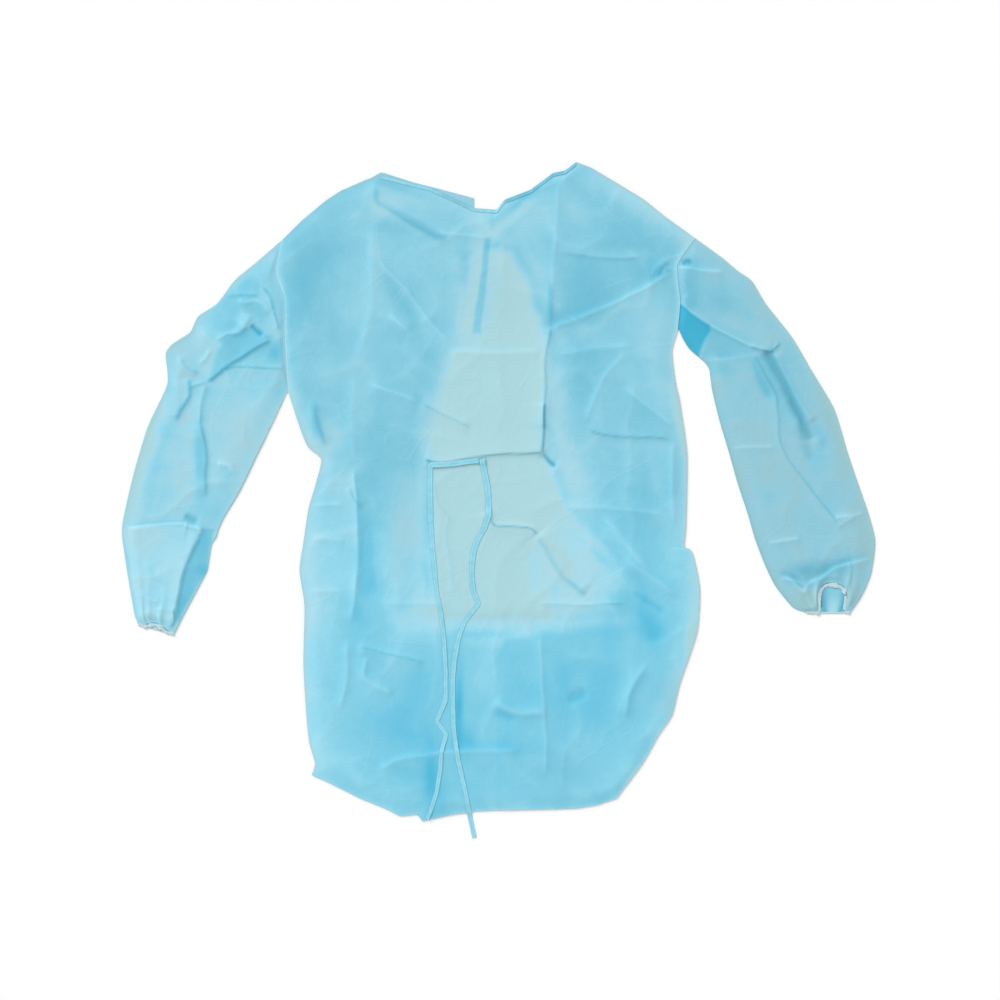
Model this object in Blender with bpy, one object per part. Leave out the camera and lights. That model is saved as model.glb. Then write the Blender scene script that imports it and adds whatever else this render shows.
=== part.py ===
"""A disposable protective overgown of non-woven cloth, laid flat with its front up.

The gown lies on z = 0, in metres, with +X across it and +Y towards its neck. Left and right
are those of somebody who looks down on it. The back panels lie on the surface, spread open
in the middle. The front panel lies on them, the sleeves are flattened tubes beside it, and
the waist ties lie on the front. Tables are in millimetres, from the middle of the gown.
"""
import math
from typing import NamedTuple

import bmesh
import bpy
import numpy as np
from mathutils import Vector
from mathutils.bvhtree import BVHTree

MM = 0.001

# Cloth and gaps
WALL = 1.0 * MM
SEAM_GAP = 0.3 * MM
SLEEVE_HOLLOW = 0.6 * MM
TIE_WALL = 0.8 * MM
TIE_WIDTH = 11.0 * MM
NECK_TIE_WIDTH = 12.0 * MM
BINDING_WIDTH = 9.0 * MM
ELASTIC_GAP = 0.6 * MM
ELASTIC_END = 5.1 * MM
TURN_INSET = 1.2 * MM

# Cells of the cloth: those down the armhole are shared by the body and the sleeves
ARMHOLE_CELLS = 9
SIDE_CELLS = 28
FRONT_CELLS = 26
BACK_CELLS = 7
SLEEVE_CELLS = 20
BINDING_CELLS = 18
STRAP_STEP = 20.0 * MM

# The share of a panel's length over which the shape of its top edge and of its hem fades out
TOP_SHARE = 0.42
HEM_SHARE = 0.28

# How far round each point the cloth feels what lies under it: a little over its longest cell
BACK_REACH = 175.0 * MM
FRONT_REACH = 30.0 * MM
STRAP_REACH = 16.0 * MM
FEELERS = 12
FEELER_STEP = 12.0 * MM

# Points on a smooth curve between two of its table's, and along a fold's middle
CURVE_STEPS = 12
FOLD_POINTS = 9

# How high the feelers start, how far ties and binding lie over the cloth below them, and how
# sharp a tie's corner may get before its mitre stops growing
FEELER_TOP = 1.0
TRIM_LIFT = 2 * SEAM_GAP
SHARPEST_MITRE = 0.7

# How far the cloth stands off what it lies on, and how far in from an edge that begins
BODY_PUFF = 0.8 * MM
SLEEVE_PUFF = 2.4 * MM
MOST_RISE = 9.0 * MM
EDGE_BAND = 0.07

# The outline of the front panel: x, y
LEFT_ARMHOLE = ((-392, 468), (-401, 410), (-385, 362), (-385, 288), (-380, 198))
RIGHT_ARMHOLE = ((353, 473), (321, 424), (326, 360), (322, 311))
LEFT_SIDE = (
    (-380, 198), (-364, 146), (-346, 99), (-322, 75), (-332, 30), (-344, -15), (-354, -75),
    (-360, -125), (-351, -190), (-353, -293), (-347, -394), (-342, -437), (-331, -472),
    (-337, -493),
)
RIGHT_SIDE = (
    (322, 311), (311, 270), (317, 214), (326, 178), (340, 83), (337, -40), (331, -79),
    (352, -104), (362, -160), (358, -236), (326, -329), (312, -385), (288, -421), (259, -472),
    (211, -535),
)
FRONT_TOP = (
    (-392, 468), (-286, 558), (-236, 578), (-212, 586), (-124, 563), (-45, 527), (-4, 524),
    (11, 542), (59, 560), (99, 590), (121, 594), (139, 610), (167, 598), (218, 567),
    (259, 542), (299, 509), (353, 473),
)
HEM = (
    (-337, -493), (-308, -506), (-250, -535), (-203, -554), (-178, -567), (-146, -563),
    (-139, -576), (-90, -565), (-43, -558), (2, -556), (139, -553), (175, -547), (211, -535),
)
FRONT_NECK_SPAN = (-212, 139)

# The back panels: their top edges, as x, y, and their free edges from the neck to the hem
BACK_LEFT_TOP = (
    (-392, 468), (-286, 558), (-236, 578), (-212, 592), (-153, 573), (-113, 563), (-45, 545),
)
BACK_RIGHT_TOP = (
    (-20, 457), (20, 500), (59, 540), (99, 575), (139, 605), (167, 597), (218, 566),
    (259, 541), (299, 508), (353, 473),
)
BACK_LEFT_EDGE = (
    (-45, 545), (-45, 470), (-61, 430), (-72, 370), (-81, 288), (-101, 248), (-126, 151),
    (-142, 95), (-178, 2), (-205, -79), (-205, -178), (-176, -222), (100, -254),
    (110, -300), (110, -552),
)
BACK_RIGHT_EDGE = (
    (-20, 457), (20, 448), (50, 398), (60, 350), (85, 308), (81, 198), (83, 86), (110, 2),
    (182, -79), (252, -160), (250, -216), (16, -250), (2, -290), (2, -552),
)

# Both sides of each sleeve from the shoulder to the cuff, as x, y
LEFT_SLEEVE_OUTER = (
    (-392, 468), (-434, 432), (-473, 398), (-504, 355), (-540, 333), (-554, 304), (-592, 281),
    (-598, 257), (-594, 211), (-632, 137), (-653, 67), (-666, 7), (-679, -52), (-670, -117),
    (-655, -200), (-648, -221),
)
LEFT_SLEEVE_INNER = (
    (-380, 198), (-389, 176), (-396, 160), (-403, 144), (-412, 126), (-419, 110), (-428, 92),
    (-436, 76), (-446, 52), (-464, 14), (-493, -29), (-509, -67), (-520, -106), (-538, -151),
    (-567, -209), (-583, -239),
)
RIGHT_SLEEVE_OUTER = (
    (353, 473), (378, 454), (405, 434), (430, 414), (455, 396), (479, 355), (526, 295),
    (562, 234), (605, 166), (628, 88), (650, 29), (668, -23), (679, -72), (673, -130),
    (657, -171), (635, -200),
)
RIGHT_SLEEVE_INNER = (
    (322, 311), (333, 293), (344, 275), (358, 263), (373, 250), (382, 236), (387, 200),
    (401, 146), (418, 92), (436, 29), (452, -22), (464, -67), (481, -112), (500, -153),
    (531, -191), (553, -200),
)

# Ties: the middle line of each, as x, y
LEFT_WAIST_TIE = (
    (-28, 79), (-77, 72), (-127, 66), (-128, 20), (-126, -38), (-119, -106), (-112, -175),
    (-101, -203), (-95, -250), (-95, -304), (-96, -358), (-112, -396), (-95, -419),
    (-104, -452), (-106, -482), (-112, -522), (-124, -560), (-130, -573),
)
RIGHT_WAIST_TIE = (
    (-20, 78), (-20, 45), (-16, 18), (-18, -23), (-34, -49), (-50, -85), (-50, -137),
    (-42, -185), (-60, -216), (-73, -245), (-81, -286), (-83, -358), (-82, -403),
    (-79, -430), (-74, -464), (-61, -522), (-54, -560), (-44, -607),
)
LEFT_NECK_TIE = ((-52, 526), (-78, 500), (-106, 474), (-150, 496), (-196, 520))
RIGHT_NECK_TIE = ((-28, 452), (-30, 407), (-35, 353), (-42, 299))


class Fold(NamedTuple):
    """A fold from one end to the other, in millimetres: bow is how far its middle stands to
    the left of the straight way, height is how far the cloth rises, or sinks if it is below
    zero, and width is half the fold's width."""

    x0: float
    y0: float
    x1: float
    y1: float
    bow: float
    height: float
    width: float


class Mouth(NamedTuple):
    """The open end of a sleeve: how far the upper layer's edge draws back, where along the
    mouth that is deepest, from 0 at the outer side to 1, and how wide it is."""

    depth: float
    middle: float
    spread: float


FRONT_FOLDS = (
    Fold(-230, 500, -250, 250, 8, 4.0, 17),
    Fold(-262, 235, -276, -30, 4, 3.0, 16),
    Fold(-274, -175, -276, -405, 4, 3.5, 16),
    Fold(-240, -20, -247, -200, 0, -2.0, 20),
    Fold(112, 560, 82, 90, 6, 3.5, 14),
    Fold(88, 311, 319, 419, -10, 4.5, 17),
    Fold(90, 262, 227, 283, 5, 2.5, 15),
    Fold(142, 131, 243, 283, -10, 4.5, 17),
    Fold(193, 227, 328, 106, 6, 3.5, 16),
    Fold(157, 131, 297, 112, 4, 2.5, 15),
    Fold(-223, 439, -92, 299, -5, 3.0, 16),
    Fold(-238, 214, -45, 130, 8, 3.0, 16),
    Fold(-324, 190, -312, 95, 6, 5.0, 14),
    Fold(-193, -193, 232, -187, 2, 2.0, 14),
    Fold(-227, -493, 81, -443, 18, 3.5, 17),
    Fold(-261, -261, -131, -293, 3, 3.0, 15),
    Fold(268, -279, 232, -394, 4, 4.0, 16),
    Fold(187, -18, 302, -196, 6, 4.0, 17),
    Fold(-11, -360, 45, -386, 5, 4.5, 15),
    Fold(121, -362, 168, -338, 2, 4.0, 14),
    Fold(308, 128, 311, -25, 0, 2.5, 14),
    Fold(112, 448, 252, 430, -6, 3.0, 16),
    Fold(79, -277, 81, -493, 0, 2.0, 14),
)
LEFT_SLEEVE_FOLDS = (
    Fold(-412, 302, -522, 228, -6, 6.0, 16),
    Fold(-490, 240, -391, 238, 4, 4.0, 14),
    Fold(-556, 306, -462, 330, 6, 6.0, 15),
    Fold(-504, 352, -430, 366, 6, 4.5, 15),
    Fold(-590, 272, -512, 250, 8, 5.0, 15),
    Fold(-531, 211, -531, -31, 3, 4.5, 15),
    Fold(-628, 137, -648, -34, 4, 3.0, 16),
    Fold(-672, -56, -540, -52, 4, 4.5, 14),
    Fold(-540, -52, -583, -225, 4, 4.5, 14),
)
RIGHT_SLEEVE_FOLDS = (
    Fold(322, 421, 412, 414, 3, 4.0, 14),
    Fold(330, 352, 517, 290, -16, 6.5, 16),
    Fold(464, 270, 562, 70, 10, -3.0, 18),
    Fold(440, 256, 500, 110, 4, 4.0, 16),
    Fold(504, 110, 607, -45, -6, 4.5, 15),
    Fold(607, -45, 664, -16, 3, 4.0, 14),
    Fold(491, -137, 668, -97, -14, 4.0, 14),
)
LEFT_MOUTH = Mouth(8, 0.5, 0.3)
RIGHT_MOUTH = Mouth(46, 0.38, 0.22)
MOUTH_REACH = 7


class Finish(NamedTuple):
    """The look of a material: its colour, roughness and how metallic it is."""

    red: float
    green: float
    blue: float
    roughness: float
    metallic: float


CLOTH = Finish(0.29, 0.66, 0.80, 0.75, 0.0)
TIE_CLOTH = Finish(0.38, 0.76, 0.88, 0.7, 0.0)
ELASTIC = Finish(0.85, 0.88, 0.87, 0.6, 0.0)


def material(name, finish):
    """A Principled material with this finish."""
    made = bpy.data.materials.new(name)
    made.use_nodes = True
    shader = made.node_tree.nodes["Principled BSDF"]
    shader.inputs["Base Color"].default_value = (finish.red, finish.green, finish.blue, 1.0)
    shader.inputs["Roughness"].default_value = finish.roughness
    shader.inputs["Metallic"].default_value = finish.metallic
    return made


def smooth_curve(table, cells):
    """cells + 1 points, evenly spaced, on a smooth curve through a table's points."""
    knots = np.array(table, float) * MM
    ends = (2 * knots[0] - knots[1], 2 * knots[-1] - knots[-2])
    padded = np.vstack([ends[0], knots, ends[1]])
    steps = np.linspace(0, 1, CURVE_STEPS, endpoint=False)[:, None]
    dense = []
    for a, b, c, d in zip(padded, padded[1:], padded[2:], padded[3:]):
        start, end = (c - a) / 3, (d - b) / 3
        curve = (2 * steps**3 - 3 * steps**2 + 1) * b + (steps**3 - 2 * steps**2 + steps) * start
        curve += (3 * steps**2 - 2 * steps**3) * c + (steps**3 - steps**2) * end
        dense.append(curve)
    dense = np.vstack([*dense, knots[-1:]])
    return resample(dense, cells)


def resample(points, cells):
    """cells + 1 points at even distances along a polyline."""
    lengths = np.linalg.norm(np.diff(points, axis=0), axis=1)
    run = np.concatenate([[0], np.cumsum(lengths)])
    at = np.linspace(0, run[-1], cells + 1)
    return np.column_stack([np.interp(at, run, points[:, k]) for k in range(points.shape[1])])


def height_at(table, x):
    """The y of an edge whose points run from left to right, at each x."""
    rows = np.array(table, float) * MM
    return np.interp(x, rows[:, 0], rows[:, 1])


def patch(left, right, top=None, bottom=None, cells=1):
    """A grid of plan points between two sides of the same count. top and bottom are tables
    of the edges that join their ends, or None where those are straight. Their shape fades
    out further in."""
    across = np.linspace(0, 1, cells + 1)[None, :, None]
    down = np.linspace(0, 1, len(left))[:, None]
    grid = left[:, None] * (1 - across) + right[:, None] * across
    if top is not None:
        fade = ease(1 - down / TOP_SHARE)
        grid[:, :, 1] += fade * (height_at(top, grid[0, :, 0]) - grid[0, :, 1])
    if bottom is not None:
        fade = ease(1 - (1 - down) / HEM_SHARE)
        grid[:, :, 1] += fade * (height_at(bottom, grid[-1, :, 0]) - grid[-1, :, 1])
    return grid


def fold_line(fold):
    """The points along a fold's middle."""
    start, end = np.array([fold.x0, fold.y0]) * MM, np.array([fold.x1, fold.y1]) * MM
    way = end - start
    left = np.array([-way[1], way[0]]) / np.linalg.norm(way)
    t = np.linspace(0, 1, FOLD_POINTS)[:, None]
    return start + way * t + left * fold.bow * MM * 4 * t * (1 - t)


def distance_to(points, line):
    """How far each plan point is from a polyline."""
    nearest = np.full(points.shape[:-1], np.inf)
    for start, end in zip(line, line[1:]):
        way = end - start
        t = np.clip(((points - start) @ way) / (way @ way), 0, 1)
        gap = np.linalg.norm(points - start - t[..., None] * way, axis=-1)
        nearest = np.minimum(nearest, gap)
    return nearest


def relief(points, folds, puff):
    """How far the cloth stands up at each plan point, from its folds and its own spring.
    Where folds meet, they level off under the most that the cloth rises."""
    rise = np.full(points.shape[:-1], puff)
    for fold in folds:
        gap = distance_to(points, fold_line(fold)) / (fold.width * MM)
        rise += fold.height * MM * np.exp(-(gap**2))
    return MOST_RISE * np.tanh(np.maximum(rise, 0.0) / MOST_RISE)


def ease(share):
    """0 at 0, 1 at 1, level at both ends."""
    share = np.clip(share, 0.0, 1.0)
    return share * share * (3 - 2 * share)


def edge_fade(rows, columns):
    """0 on the edges of a grid, where the cloth lies down, and 1 further in."""
    down, across = np.linspace(0, 1, rows)[:, None], np.linspace(0, 1, columns)[None, :]
    inset = np.minimum(np.minimum(down, 1 - down), np.minimum(across, 1 - across))
    return ease(inset / EDGE_BAND)


class Pile:
    """What already lies on the surface, so that the next piece can lie on it."""

    def __init__(self, below):
        """Reads the finished solids of the pieces below."""
        ready = bpy.context.evaluated_depsgraph_get()
        self.trees = [BVHTree.FromObject(piece, ready) for piece in below]

    def top(self, x, y):
        """The highest point under one place, or 0 on the bare surface."""
        start, down = Vector((x, y, FEELER_TOP)), Vector((0, 0, -1))
        hits = [tree.ray_cast(start, down)[0] for tree in self.trees]
        return max([hit.z for hit in hits if hit is not None], default=0.0)

    def top_near(self, x, y, reach):
        """The highest point within reach of one place."""
        around = [(0.0, 0.0)]
        for ring in np.linspace(0, reach, max(2, round(reach / FEELER_STEP)) + 1)[1:]:
            turns = [math.tau * step / FEELERS for step in range(FEELERS)]
            around += [(ring * math.cos(turn), ring * math.sin(turn)) for turn in turns]
        return max(self.top(x + dx, y + dy) for dx, dy in around)

    def tops(self, points, reach):
        """The highest point within reach of each plan point of a grid."""
        flat = points.reshape(-1, 2)
        found = [self.top_near(x, y, reach) for x, y in flat]
        return np.array(found).reshape(points.shape[:-1])


def sheet(name, grid, heights, wall, finish):
    """A closed wall of cloth on a grid of plan points and heights."""
    rows, columns = heights.shape
    mesh = bmesh.new()
    bmesh.ops.create_grid(mesh, x_segments=columns - 1, y_segments=rows - 1, size=0.5)
    mesh.verts.ensure_lookup_table()
    for vertex in mesh.verts:
        row = rows - 1 - round((vertex.co.y + 0.5) * (rows - 1))
        column = round((vertex.co.x + 0.5) * (columns - 1))
        vertex.co = (*grid[row, column], heights[row, column])
    return solid(name, mesh, wall, finish, 1.0)


def solid(name, mesh, wall, finish, side):
    """An object from a bmesh skin, thickened outwards if side is 1, or inwards if it is -1."""
    data = bpy.data.meshes.new(name)
    mesh.to_mesh(data)
    mesh.free()
    piece = bpy.data.objects.new(name, data)
    bpy.context.scene.collection.objects.link(piece)
    thickness = piece.modifiers.new("wall", "SOLIDIFY")
    thickness.thickness = wall
    thickness.offset = side
    data.shade_smooth()
    data.materials.append(finish)
    bpy.context.view_layer.update()
    return piece


def body_sides():
    """The front panel's two side edges, armhole and side seam in one."""
    left = np.vstack([
        smooth_curve(LEFT_ARMHOLE, ARMHOLE_CELLS), smooth_curve(LEFT_SIDE, SIDE_CELLS)[1:],
    ])
    right = np.vstack([
        smooth_curve(RIGHT_ARMHOLE, ARMHOLE_CELLS), smooth_curve(RIGHT_SIDE, SIDE_CELLS)[1:],
    ])
    return left, right


def free_edge(table, side):
    """A back panel's free edge, with a point level with each point of its side."""
    rows = np.array(table, float) * MM
    share = (side[:, 1] - side[0, 1]) / (side[-1, 1] - side[0, 1])
    y = rows[0, 1] + share * (rows[-1, 1] - rows[0, 1])
    return np.column_stack([np.interp(-y, -rows[:, 1], rows[:, 0]), y])


def back_panels(cloth):
    """Both halves of the back, the left one over the right one below the opening."""
    left, right = body_sides()
    grid = patch(free_edge(BACK_RIGHT_EDGE, right), right, BACK_RIGHT_TOP, HEM, BACK_CELLS)
    right_panel = sheet("back_right_panel", grid, np.zeros(grid.shape[:2]), WALL, cloth)
    grid = patch(left, free_edge(BACK_LEFT_EDGE, left), BACK_LEFT_TOP, HEM, BACK_CELLS)
    tops = Pile([right_panel]).tops(grid, BACK_REACH)
    heights = np.where(tops > 0, tops + SEAM_GAP, 0.0)
    left_panel = sheet("back_left_panel", grid, heights, WALL, cloth)
    return left_panel, right_panel


def front_panel(cloth, below):
    """The front, on the back panels and the neck ties."""
    left, right = body_sides()
    grid = patch(left, right, FRONT_TOP, HEM, FRONT_CELLS)
    heights = Pile(below).tops(grid, FRONT_REACH) + SEAM_GAP
    heights += relief(grid, FRONT_FOLDS, BODY_PUFF) * edge_fade(*heights.shape)
    return sheet("front_panel", grid, heights, WALL, cloth), grid, heights


def neck_binding(cloth, grid, heights):
    """The band along the front neckline, made from the panel's own points, moved out."""
    low, high = (x * MM for x in FRONT_NECK_SPAN)
    x = np.linspace(low, high, BINDING_CELLS + 1)
    first, second = (
        np.column_stack([x, np.interp(x, grid[row, :, 0], grid[row, :, 1])]) for row in (0, 1)
    )
    levels = [np.interp(x, grid[row, :, 0], heights[row]) for row in (0, 1)]
    share = BINDING_WIDTH / np.linalg.norm(second - first, axis=1)[:, None]
    band = np.stack([first, first + (second - first) * share])
    lift = WALL + TRIM_LIFT + np.maximum(*levels)
    return sheet("neck_binding", band, np.stack([lift, lift]), WALL, cloth)


def mouth_shape(mouth, columns):
    """How far back along the sleeve the upper layer's edge lies, across its mouth."""
    across = np.linspace(0, 1, columns)
    return mouth.depth * MM * np.exp(-(((across - mouth.middle) / mouth.spread) ** 2))


def sleeve_plan(armhole, outer, inner, side):
    """The sleeve's grid of plan points, from its armhole to its cuff."""
    outer_edge, inner_edge = smooth_curve(outer, SLEEVE_CELLS), smooth_curve(inner, SLEEVE_CELLS)
    grid = patch(outer_edge, inner_edge, cells=ARMHOLE_CELLS)
    fade = (1 - np.linspace(0, 1, SLEEVE_CELLS + 1)[:, None, None]) ** 2
    seam = smooth_curve(armhole, ARMHOLE_CELLS) + np.array([side * 2 * SEAM_GAP, 0.0])
    grid += fade * (seam - grid[0])
    return grid


def drawn_back(grid, mouth):
    """The upper layer's plan points: the last rows draw back where the mouth gapes."""
    upper = grid.copy()
    along = grid[-1] - grid[-2]
    along /= np.linalg.norm(along, axis=1)[:, None]
    depth = mouth_shape(mouth, grid.shape[1])
    edge = np.sin(np.linspace(0, math.pi, grid.shape[1]))
    for row in range(1, MOUTH_REACH + 1):
        share = ease((MOUTH_REACH - row + 1) / MOUTH_REACH)
        upper[-row] -= along * (depth * edge * share)[:, None]
    return upper


def drawn_in(points, inset):
    """A row of points with its two ends drawn in along it."""
    row = points.copy()
    for end, neighbour in ((0, 1), (-1, -2)):
        way = points[neighbour] - points[end]
        row[end] += way / np.linalg.norm(way) * inset
    return row


def sleeve(name, plan, upper, folds, cloth):
    """A flattened tube of cloth, open at the armhole and at the cuff."""
    rows, columns = plan.shape[:2]
    rim = WALL + SLEEVE_HOLLOW / 2
    top = 2 * rim + relief(upper, folds, SLEEVE_PUFF) * edge_fade(rows, columns)
    rings = []
    for row in range(rows):
        above, below = drawn_in(upper[row], TURN_INSET), drawn_in(plan[row], TURN_INSET)
        ring = [(*plan[row, 0], rim)]
        ring += [(*point, z) for point, z in zip(above, top[row])]
        ring += [(*plan[row, -1], rim)]
        ring += [(*point, 0.0) for point in below[::-1]]
        rings.append(ring)
    return tube(name, rings, cloth), top


def tube(name, rings, finish):
    """A tube of cloth with open ends through rings of points, thickened inwards."""
    count = len(rings[0])
    mesh = bmesh.new()
    bmesh.ops.create_circle(mesh, segments=count, radius=1.0, cap_ends=False)
    mesh.verts.ensure_lookup_table()
    edges = list(mesh.edges)
    loop = sorted(mesh.verts, key=lambda vertex: math.atan2(vertex.co.y, vertex.co.x))
    place(loop, rings[0])
    for ring in rings[1:]:
        order = {vertex: index for index, vertex in enumerate(loop)}
        made = bmesh.ops.extrude_edge_only(mesh, edges=edges)["geom"]
        edges = [item for item in made if isinstance(item, bmesh.types.BMEdge)]
        fresh = [item for item in made if isinstance(item, bmesh.types.BMVert)]
        loop = sorted(fresh, key=lambda vertex: order[nearest_in(vertex, loop)])
        place(loop, ring)
    bmesh.ops.recalc_face_normals(mesh, faces=mesh.faces)
    return solid(name, mesh, WALL, finish, -1.0)


def nearest_in(vertex, loop):
    """The vertex of the loop that a fresh one was extruded from, still at its place."""
    return next(edge.other_vert(vertex) for edge in vertex.link_edges
                if edge.other_vert(vertex) in loop)


def place(loop, ring):
    """Moves a loop of vertices to a ring of points."""
    for vertex, point in zip(loop, ring):
        vertex.co = point


def cuff_elastic(name, plan, upper, top, finish):
    """The elastic round a cuff's mouth: one strand below, one above and a turn at each end."""
    along = plan[-1] - plan[-2]
    along /= np.linalg.norm(along, axis=1)[:, None]
    low, high = drawn_in(plan[-1], TURN_INSET), drawn_in(upper[-1], TURN_INSET)
    turn = drawn_in(plan[-1], WALL)
    rim = WALL + SLEEVE_HOLLOW / 2
    outside, inside = [], []
    for point in low:
        outside.append((*point, 0.0))
        inside.append((*point, WALL))
    outside.append((*plan[-1, -1], rim))
    inside.append((*turn[-1], rim))
    for point, z in zip(high[::-1], top[-1, ::-1]):
        outside.append((*point, z))
        inside.append((*point, z - WALL))
    outside.append((*plan[-1, 0], rim))
    inside.append((*turn[0], rim))
    ways = np.vstack([along, along[-1:], along[::-1], along[:1]])
    sections = []
    for outer, inner, way in zip(np.array(outside), np.array(inside), ways):
        start, end = (np.array([*way, 0.0]) * reach for reach in (ELASTIC_GAP, ELASTIC_END))
        sections.append([outer + start, outer + end, inner + end, inner + start])
    return hoop(name, sections, finish)


def hoop(name, sections, finish):
    """A closed ring of four-cornered sections."""
    mesh = bmesh.new()
    loops = [[mesh.verts.new(corner) for corner in section] for section in sections]
    for here, there in zip(loops, loops[1:] + loops[:1]):
        for side in range(4):
            other = (side + 1) % 4
            mesh.faces.new((here[side], here[other], there[other], there[side]))
    bmesh.ops.recalc_face_normals(mesh, faces=mesh.faces)
    data = bpy.data.meshes.new(name)
    mesh.to_mesh(data)
    mesh.free()
    data.materials.append(finish)
    piece = bpy.data.objects.new(name, data)
    bpy.context.scene.collection.objects.link(piece)
    return piece


def strap(name, table, width, below, finish):
    """A flat tie along its middle line, lying on whatever is below it."""
    knots = np.array(table, float) * MM
    line = [knots[0]]
    for start, end in zip(knots, knots[1:]):
        parts = max(1, round(np.linalg.norm(end - start) / STRAP_STEP))
        line += [start + (end - start) * (step + 1) / parts for step in range(parts)]
    line = np.array(line)
    ways = np.diff(line, axis=0)
    ways /= np.linalg.norm(ways, axis=1)[:, None]
    before, after = np.vstack([ways[:1], ways]), np.vstack([ways, ways[-1:]])
    mean = before + after
    mean /= np.linalg.norm(mean, axis=1)[:, None]
    stretch = width / 2 / np.maximum((mean * after).sum(1), SHARPEST_MITRE)
    side = np.column_stack([-mean[:, 1], mean[:, 0]]) * stretch[:, None]
    grid = np.stack([line + side, line - side], axis=1)
    tops = Pile(below).tops(grid, STRAP_REACH)
    level = np.where(tops > 0, tops + TRIM_LIFT, 0.0).max(1)
    return sheet(name, grid[::-1], np.stack([level, level], axis=1)[::-1], TIE_WALL, finish)


def recentre(pieces):
    """Moves the gown so that the middle of its box is over the origin."""
    ready = bpy.context.evaluated_depsgraph_get()
    corners = [Vector(c) for piece in pieces for c in piece.evaluated_get(ready).bound_box]
    low = Vector([min(corner[axis] for corner in corners) for axis in range(3)])
    high = Vector([max(corner[axis] for corner in corners) for axis in range(3)])
    shift = -(low + high) / 2
    shift.z = -low.z
    for piece in pieces:
        for vertex in piece.data.vertices:
            vertex.co += shift


def main():
    """Lays the gown down from the bottom up."""
    for thing in list(bpy.data.objects):
        bpy.data.objects.remove(thing)
    cloth = material("nonwoven_cloth", CLOTH)
    tie_cloth = material("tie_cloth", TIE_CLOTH)
    elastic = material("elastic", ELASTIC)

    back_left, back_right = back_panels(cloth)
    left_neck = strap("left_neck_tie", LEFT_NECK_TIE, NECK_TIE_WIDTH, [back_left], tie_cloth)
    right_neck = strap("right_neck_tie", RIGHT_NECK_TIE, NECK_TIE_WIDTH, [back_left], tie_cloth)
    below = [back_left, back_right, left_neck, right_neck]
    front, grid, heights = front_panel(cloth, below)
    binding = neck_binding(tie_cloth, grid, heights)
    left_tie = strap("left_waist_tie", LEFT_WAIST_TIE, TIE_WIDTH, [front], tie_cloth)
    right_tie = strap("right_waist_tie", RIGHT_WAIST_TIE, TIE_WIDTH, [front, left_tie], tie_cloth)

    pieces = [*below, front, binding, left_tie, right_tie]
    for name, armhole, outer, inner, folds, mouth, side in (
        ("left", LEFT_ARMHOLE, LEFT_SLEEVE_OUTER, LEFT_SLEEVE_INNER, LEFT_SLEEVE_FOLDS,
         LEFT_MOUTH, -1),
        ("right", RIGHT_ARMHOLE, RIGHT_SLEEVE_OUTER, RIGHT_SLEEVE_INNER, RIGHT_SLEEVE_FOLDS,
         RIGHT_MOUTH, 1),
    ):
        plan = sleeve_plan(armhole, outer, inner, side)
        upper = drawn_back(plan, mouth)
        made, top = sleeve(f"{name}_sleeve", plan, upper, folds, cloth)
        pieces += [made, cuff_elastic(f"{name}_cuff_elastic", plan, upper, top, elastic)]
    recentre(pieces)


main()
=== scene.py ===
"""The looks of a disposable protective overgown of non-woven cloth, laid flat with its front up.

Every piece is a thin shell on the form of its solid. The outline tables are the solids' own, in
millimetres from the middle of the gown, with +X across it and +Y towards its neck. Left and right
are those of somebody who looks down on it. The finer form is added here: pressed creases, bunched
folds, gathers at the cuffs, folded ties and sewing.
"""
import logging
import math
from dataclasses import dataclass, field
from enum import Enum

import bmesh
import bpy
import numpy as np
from mathutils import Matrix, Vector, noise
from mathutils.bvhtree import BVHTree


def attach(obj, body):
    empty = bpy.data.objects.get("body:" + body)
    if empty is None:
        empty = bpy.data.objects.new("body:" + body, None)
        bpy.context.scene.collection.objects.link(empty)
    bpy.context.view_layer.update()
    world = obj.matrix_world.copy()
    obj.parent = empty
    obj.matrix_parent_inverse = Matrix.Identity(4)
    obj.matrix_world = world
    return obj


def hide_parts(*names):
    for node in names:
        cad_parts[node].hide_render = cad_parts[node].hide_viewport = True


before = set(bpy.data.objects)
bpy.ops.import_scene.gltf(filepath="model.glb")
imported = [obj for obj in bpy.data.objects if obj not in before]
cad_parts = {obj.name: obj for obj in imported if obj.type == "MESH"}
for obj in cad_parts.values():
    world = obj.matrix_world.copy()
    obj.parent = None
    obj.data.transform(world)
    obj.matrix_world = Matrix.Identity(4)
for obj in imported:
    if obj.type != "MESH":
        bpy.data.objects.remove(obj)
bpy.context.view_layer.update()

log = logging.getLogger("overgown")

MM = 0.001
ROOT = "root"
CURVE_STEPS = 12
ROUTE_CELLS = 8
CREST_SHARPNESS = 2.4
SECOND_DRIFT = 7.3
CORNER_REACH = 8 * MM
RIM_COLUMNS = 1.3
RIM_ROWS = 1.0
CREASE_REACH = 3.2
# the share of a crease's negative dark that becomes a painted highlight along its crest
CREST_GLINT = 0.6
TILT_STEP = 1.2 * MM

Table = tuple[tuple[float, float], ...]
Rows = tuple[tuple[float, ...], ...]
Points = np.ndarray
Span = tuple[float, float]


class Slot(Enum):
    """The record's material slots."""

    CLOTH = "nonwoven_cloth"
    TIE = "tie_cloth"
    ELASTIC = "cuff_elastic"


class Side(Enum):
    """A side of the gown, as its sign along X."""

    LEFT = -1
    RIGHT = 1

    @property
    def word(self) -> str:
        """The side's word in the names of pieces."""
        return self.name.lower()


def ease(share: Points) -> Points:
    """Runs level from 0 at 0 to 1 at 1.

    Args:
        share: Values, cut off below 0 and above 1.

    Returns:
        The eased values.
    """
    share = np.clip(share, 0.0, 1.0)
    return share * share * (3 - 2 * share)


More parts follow.
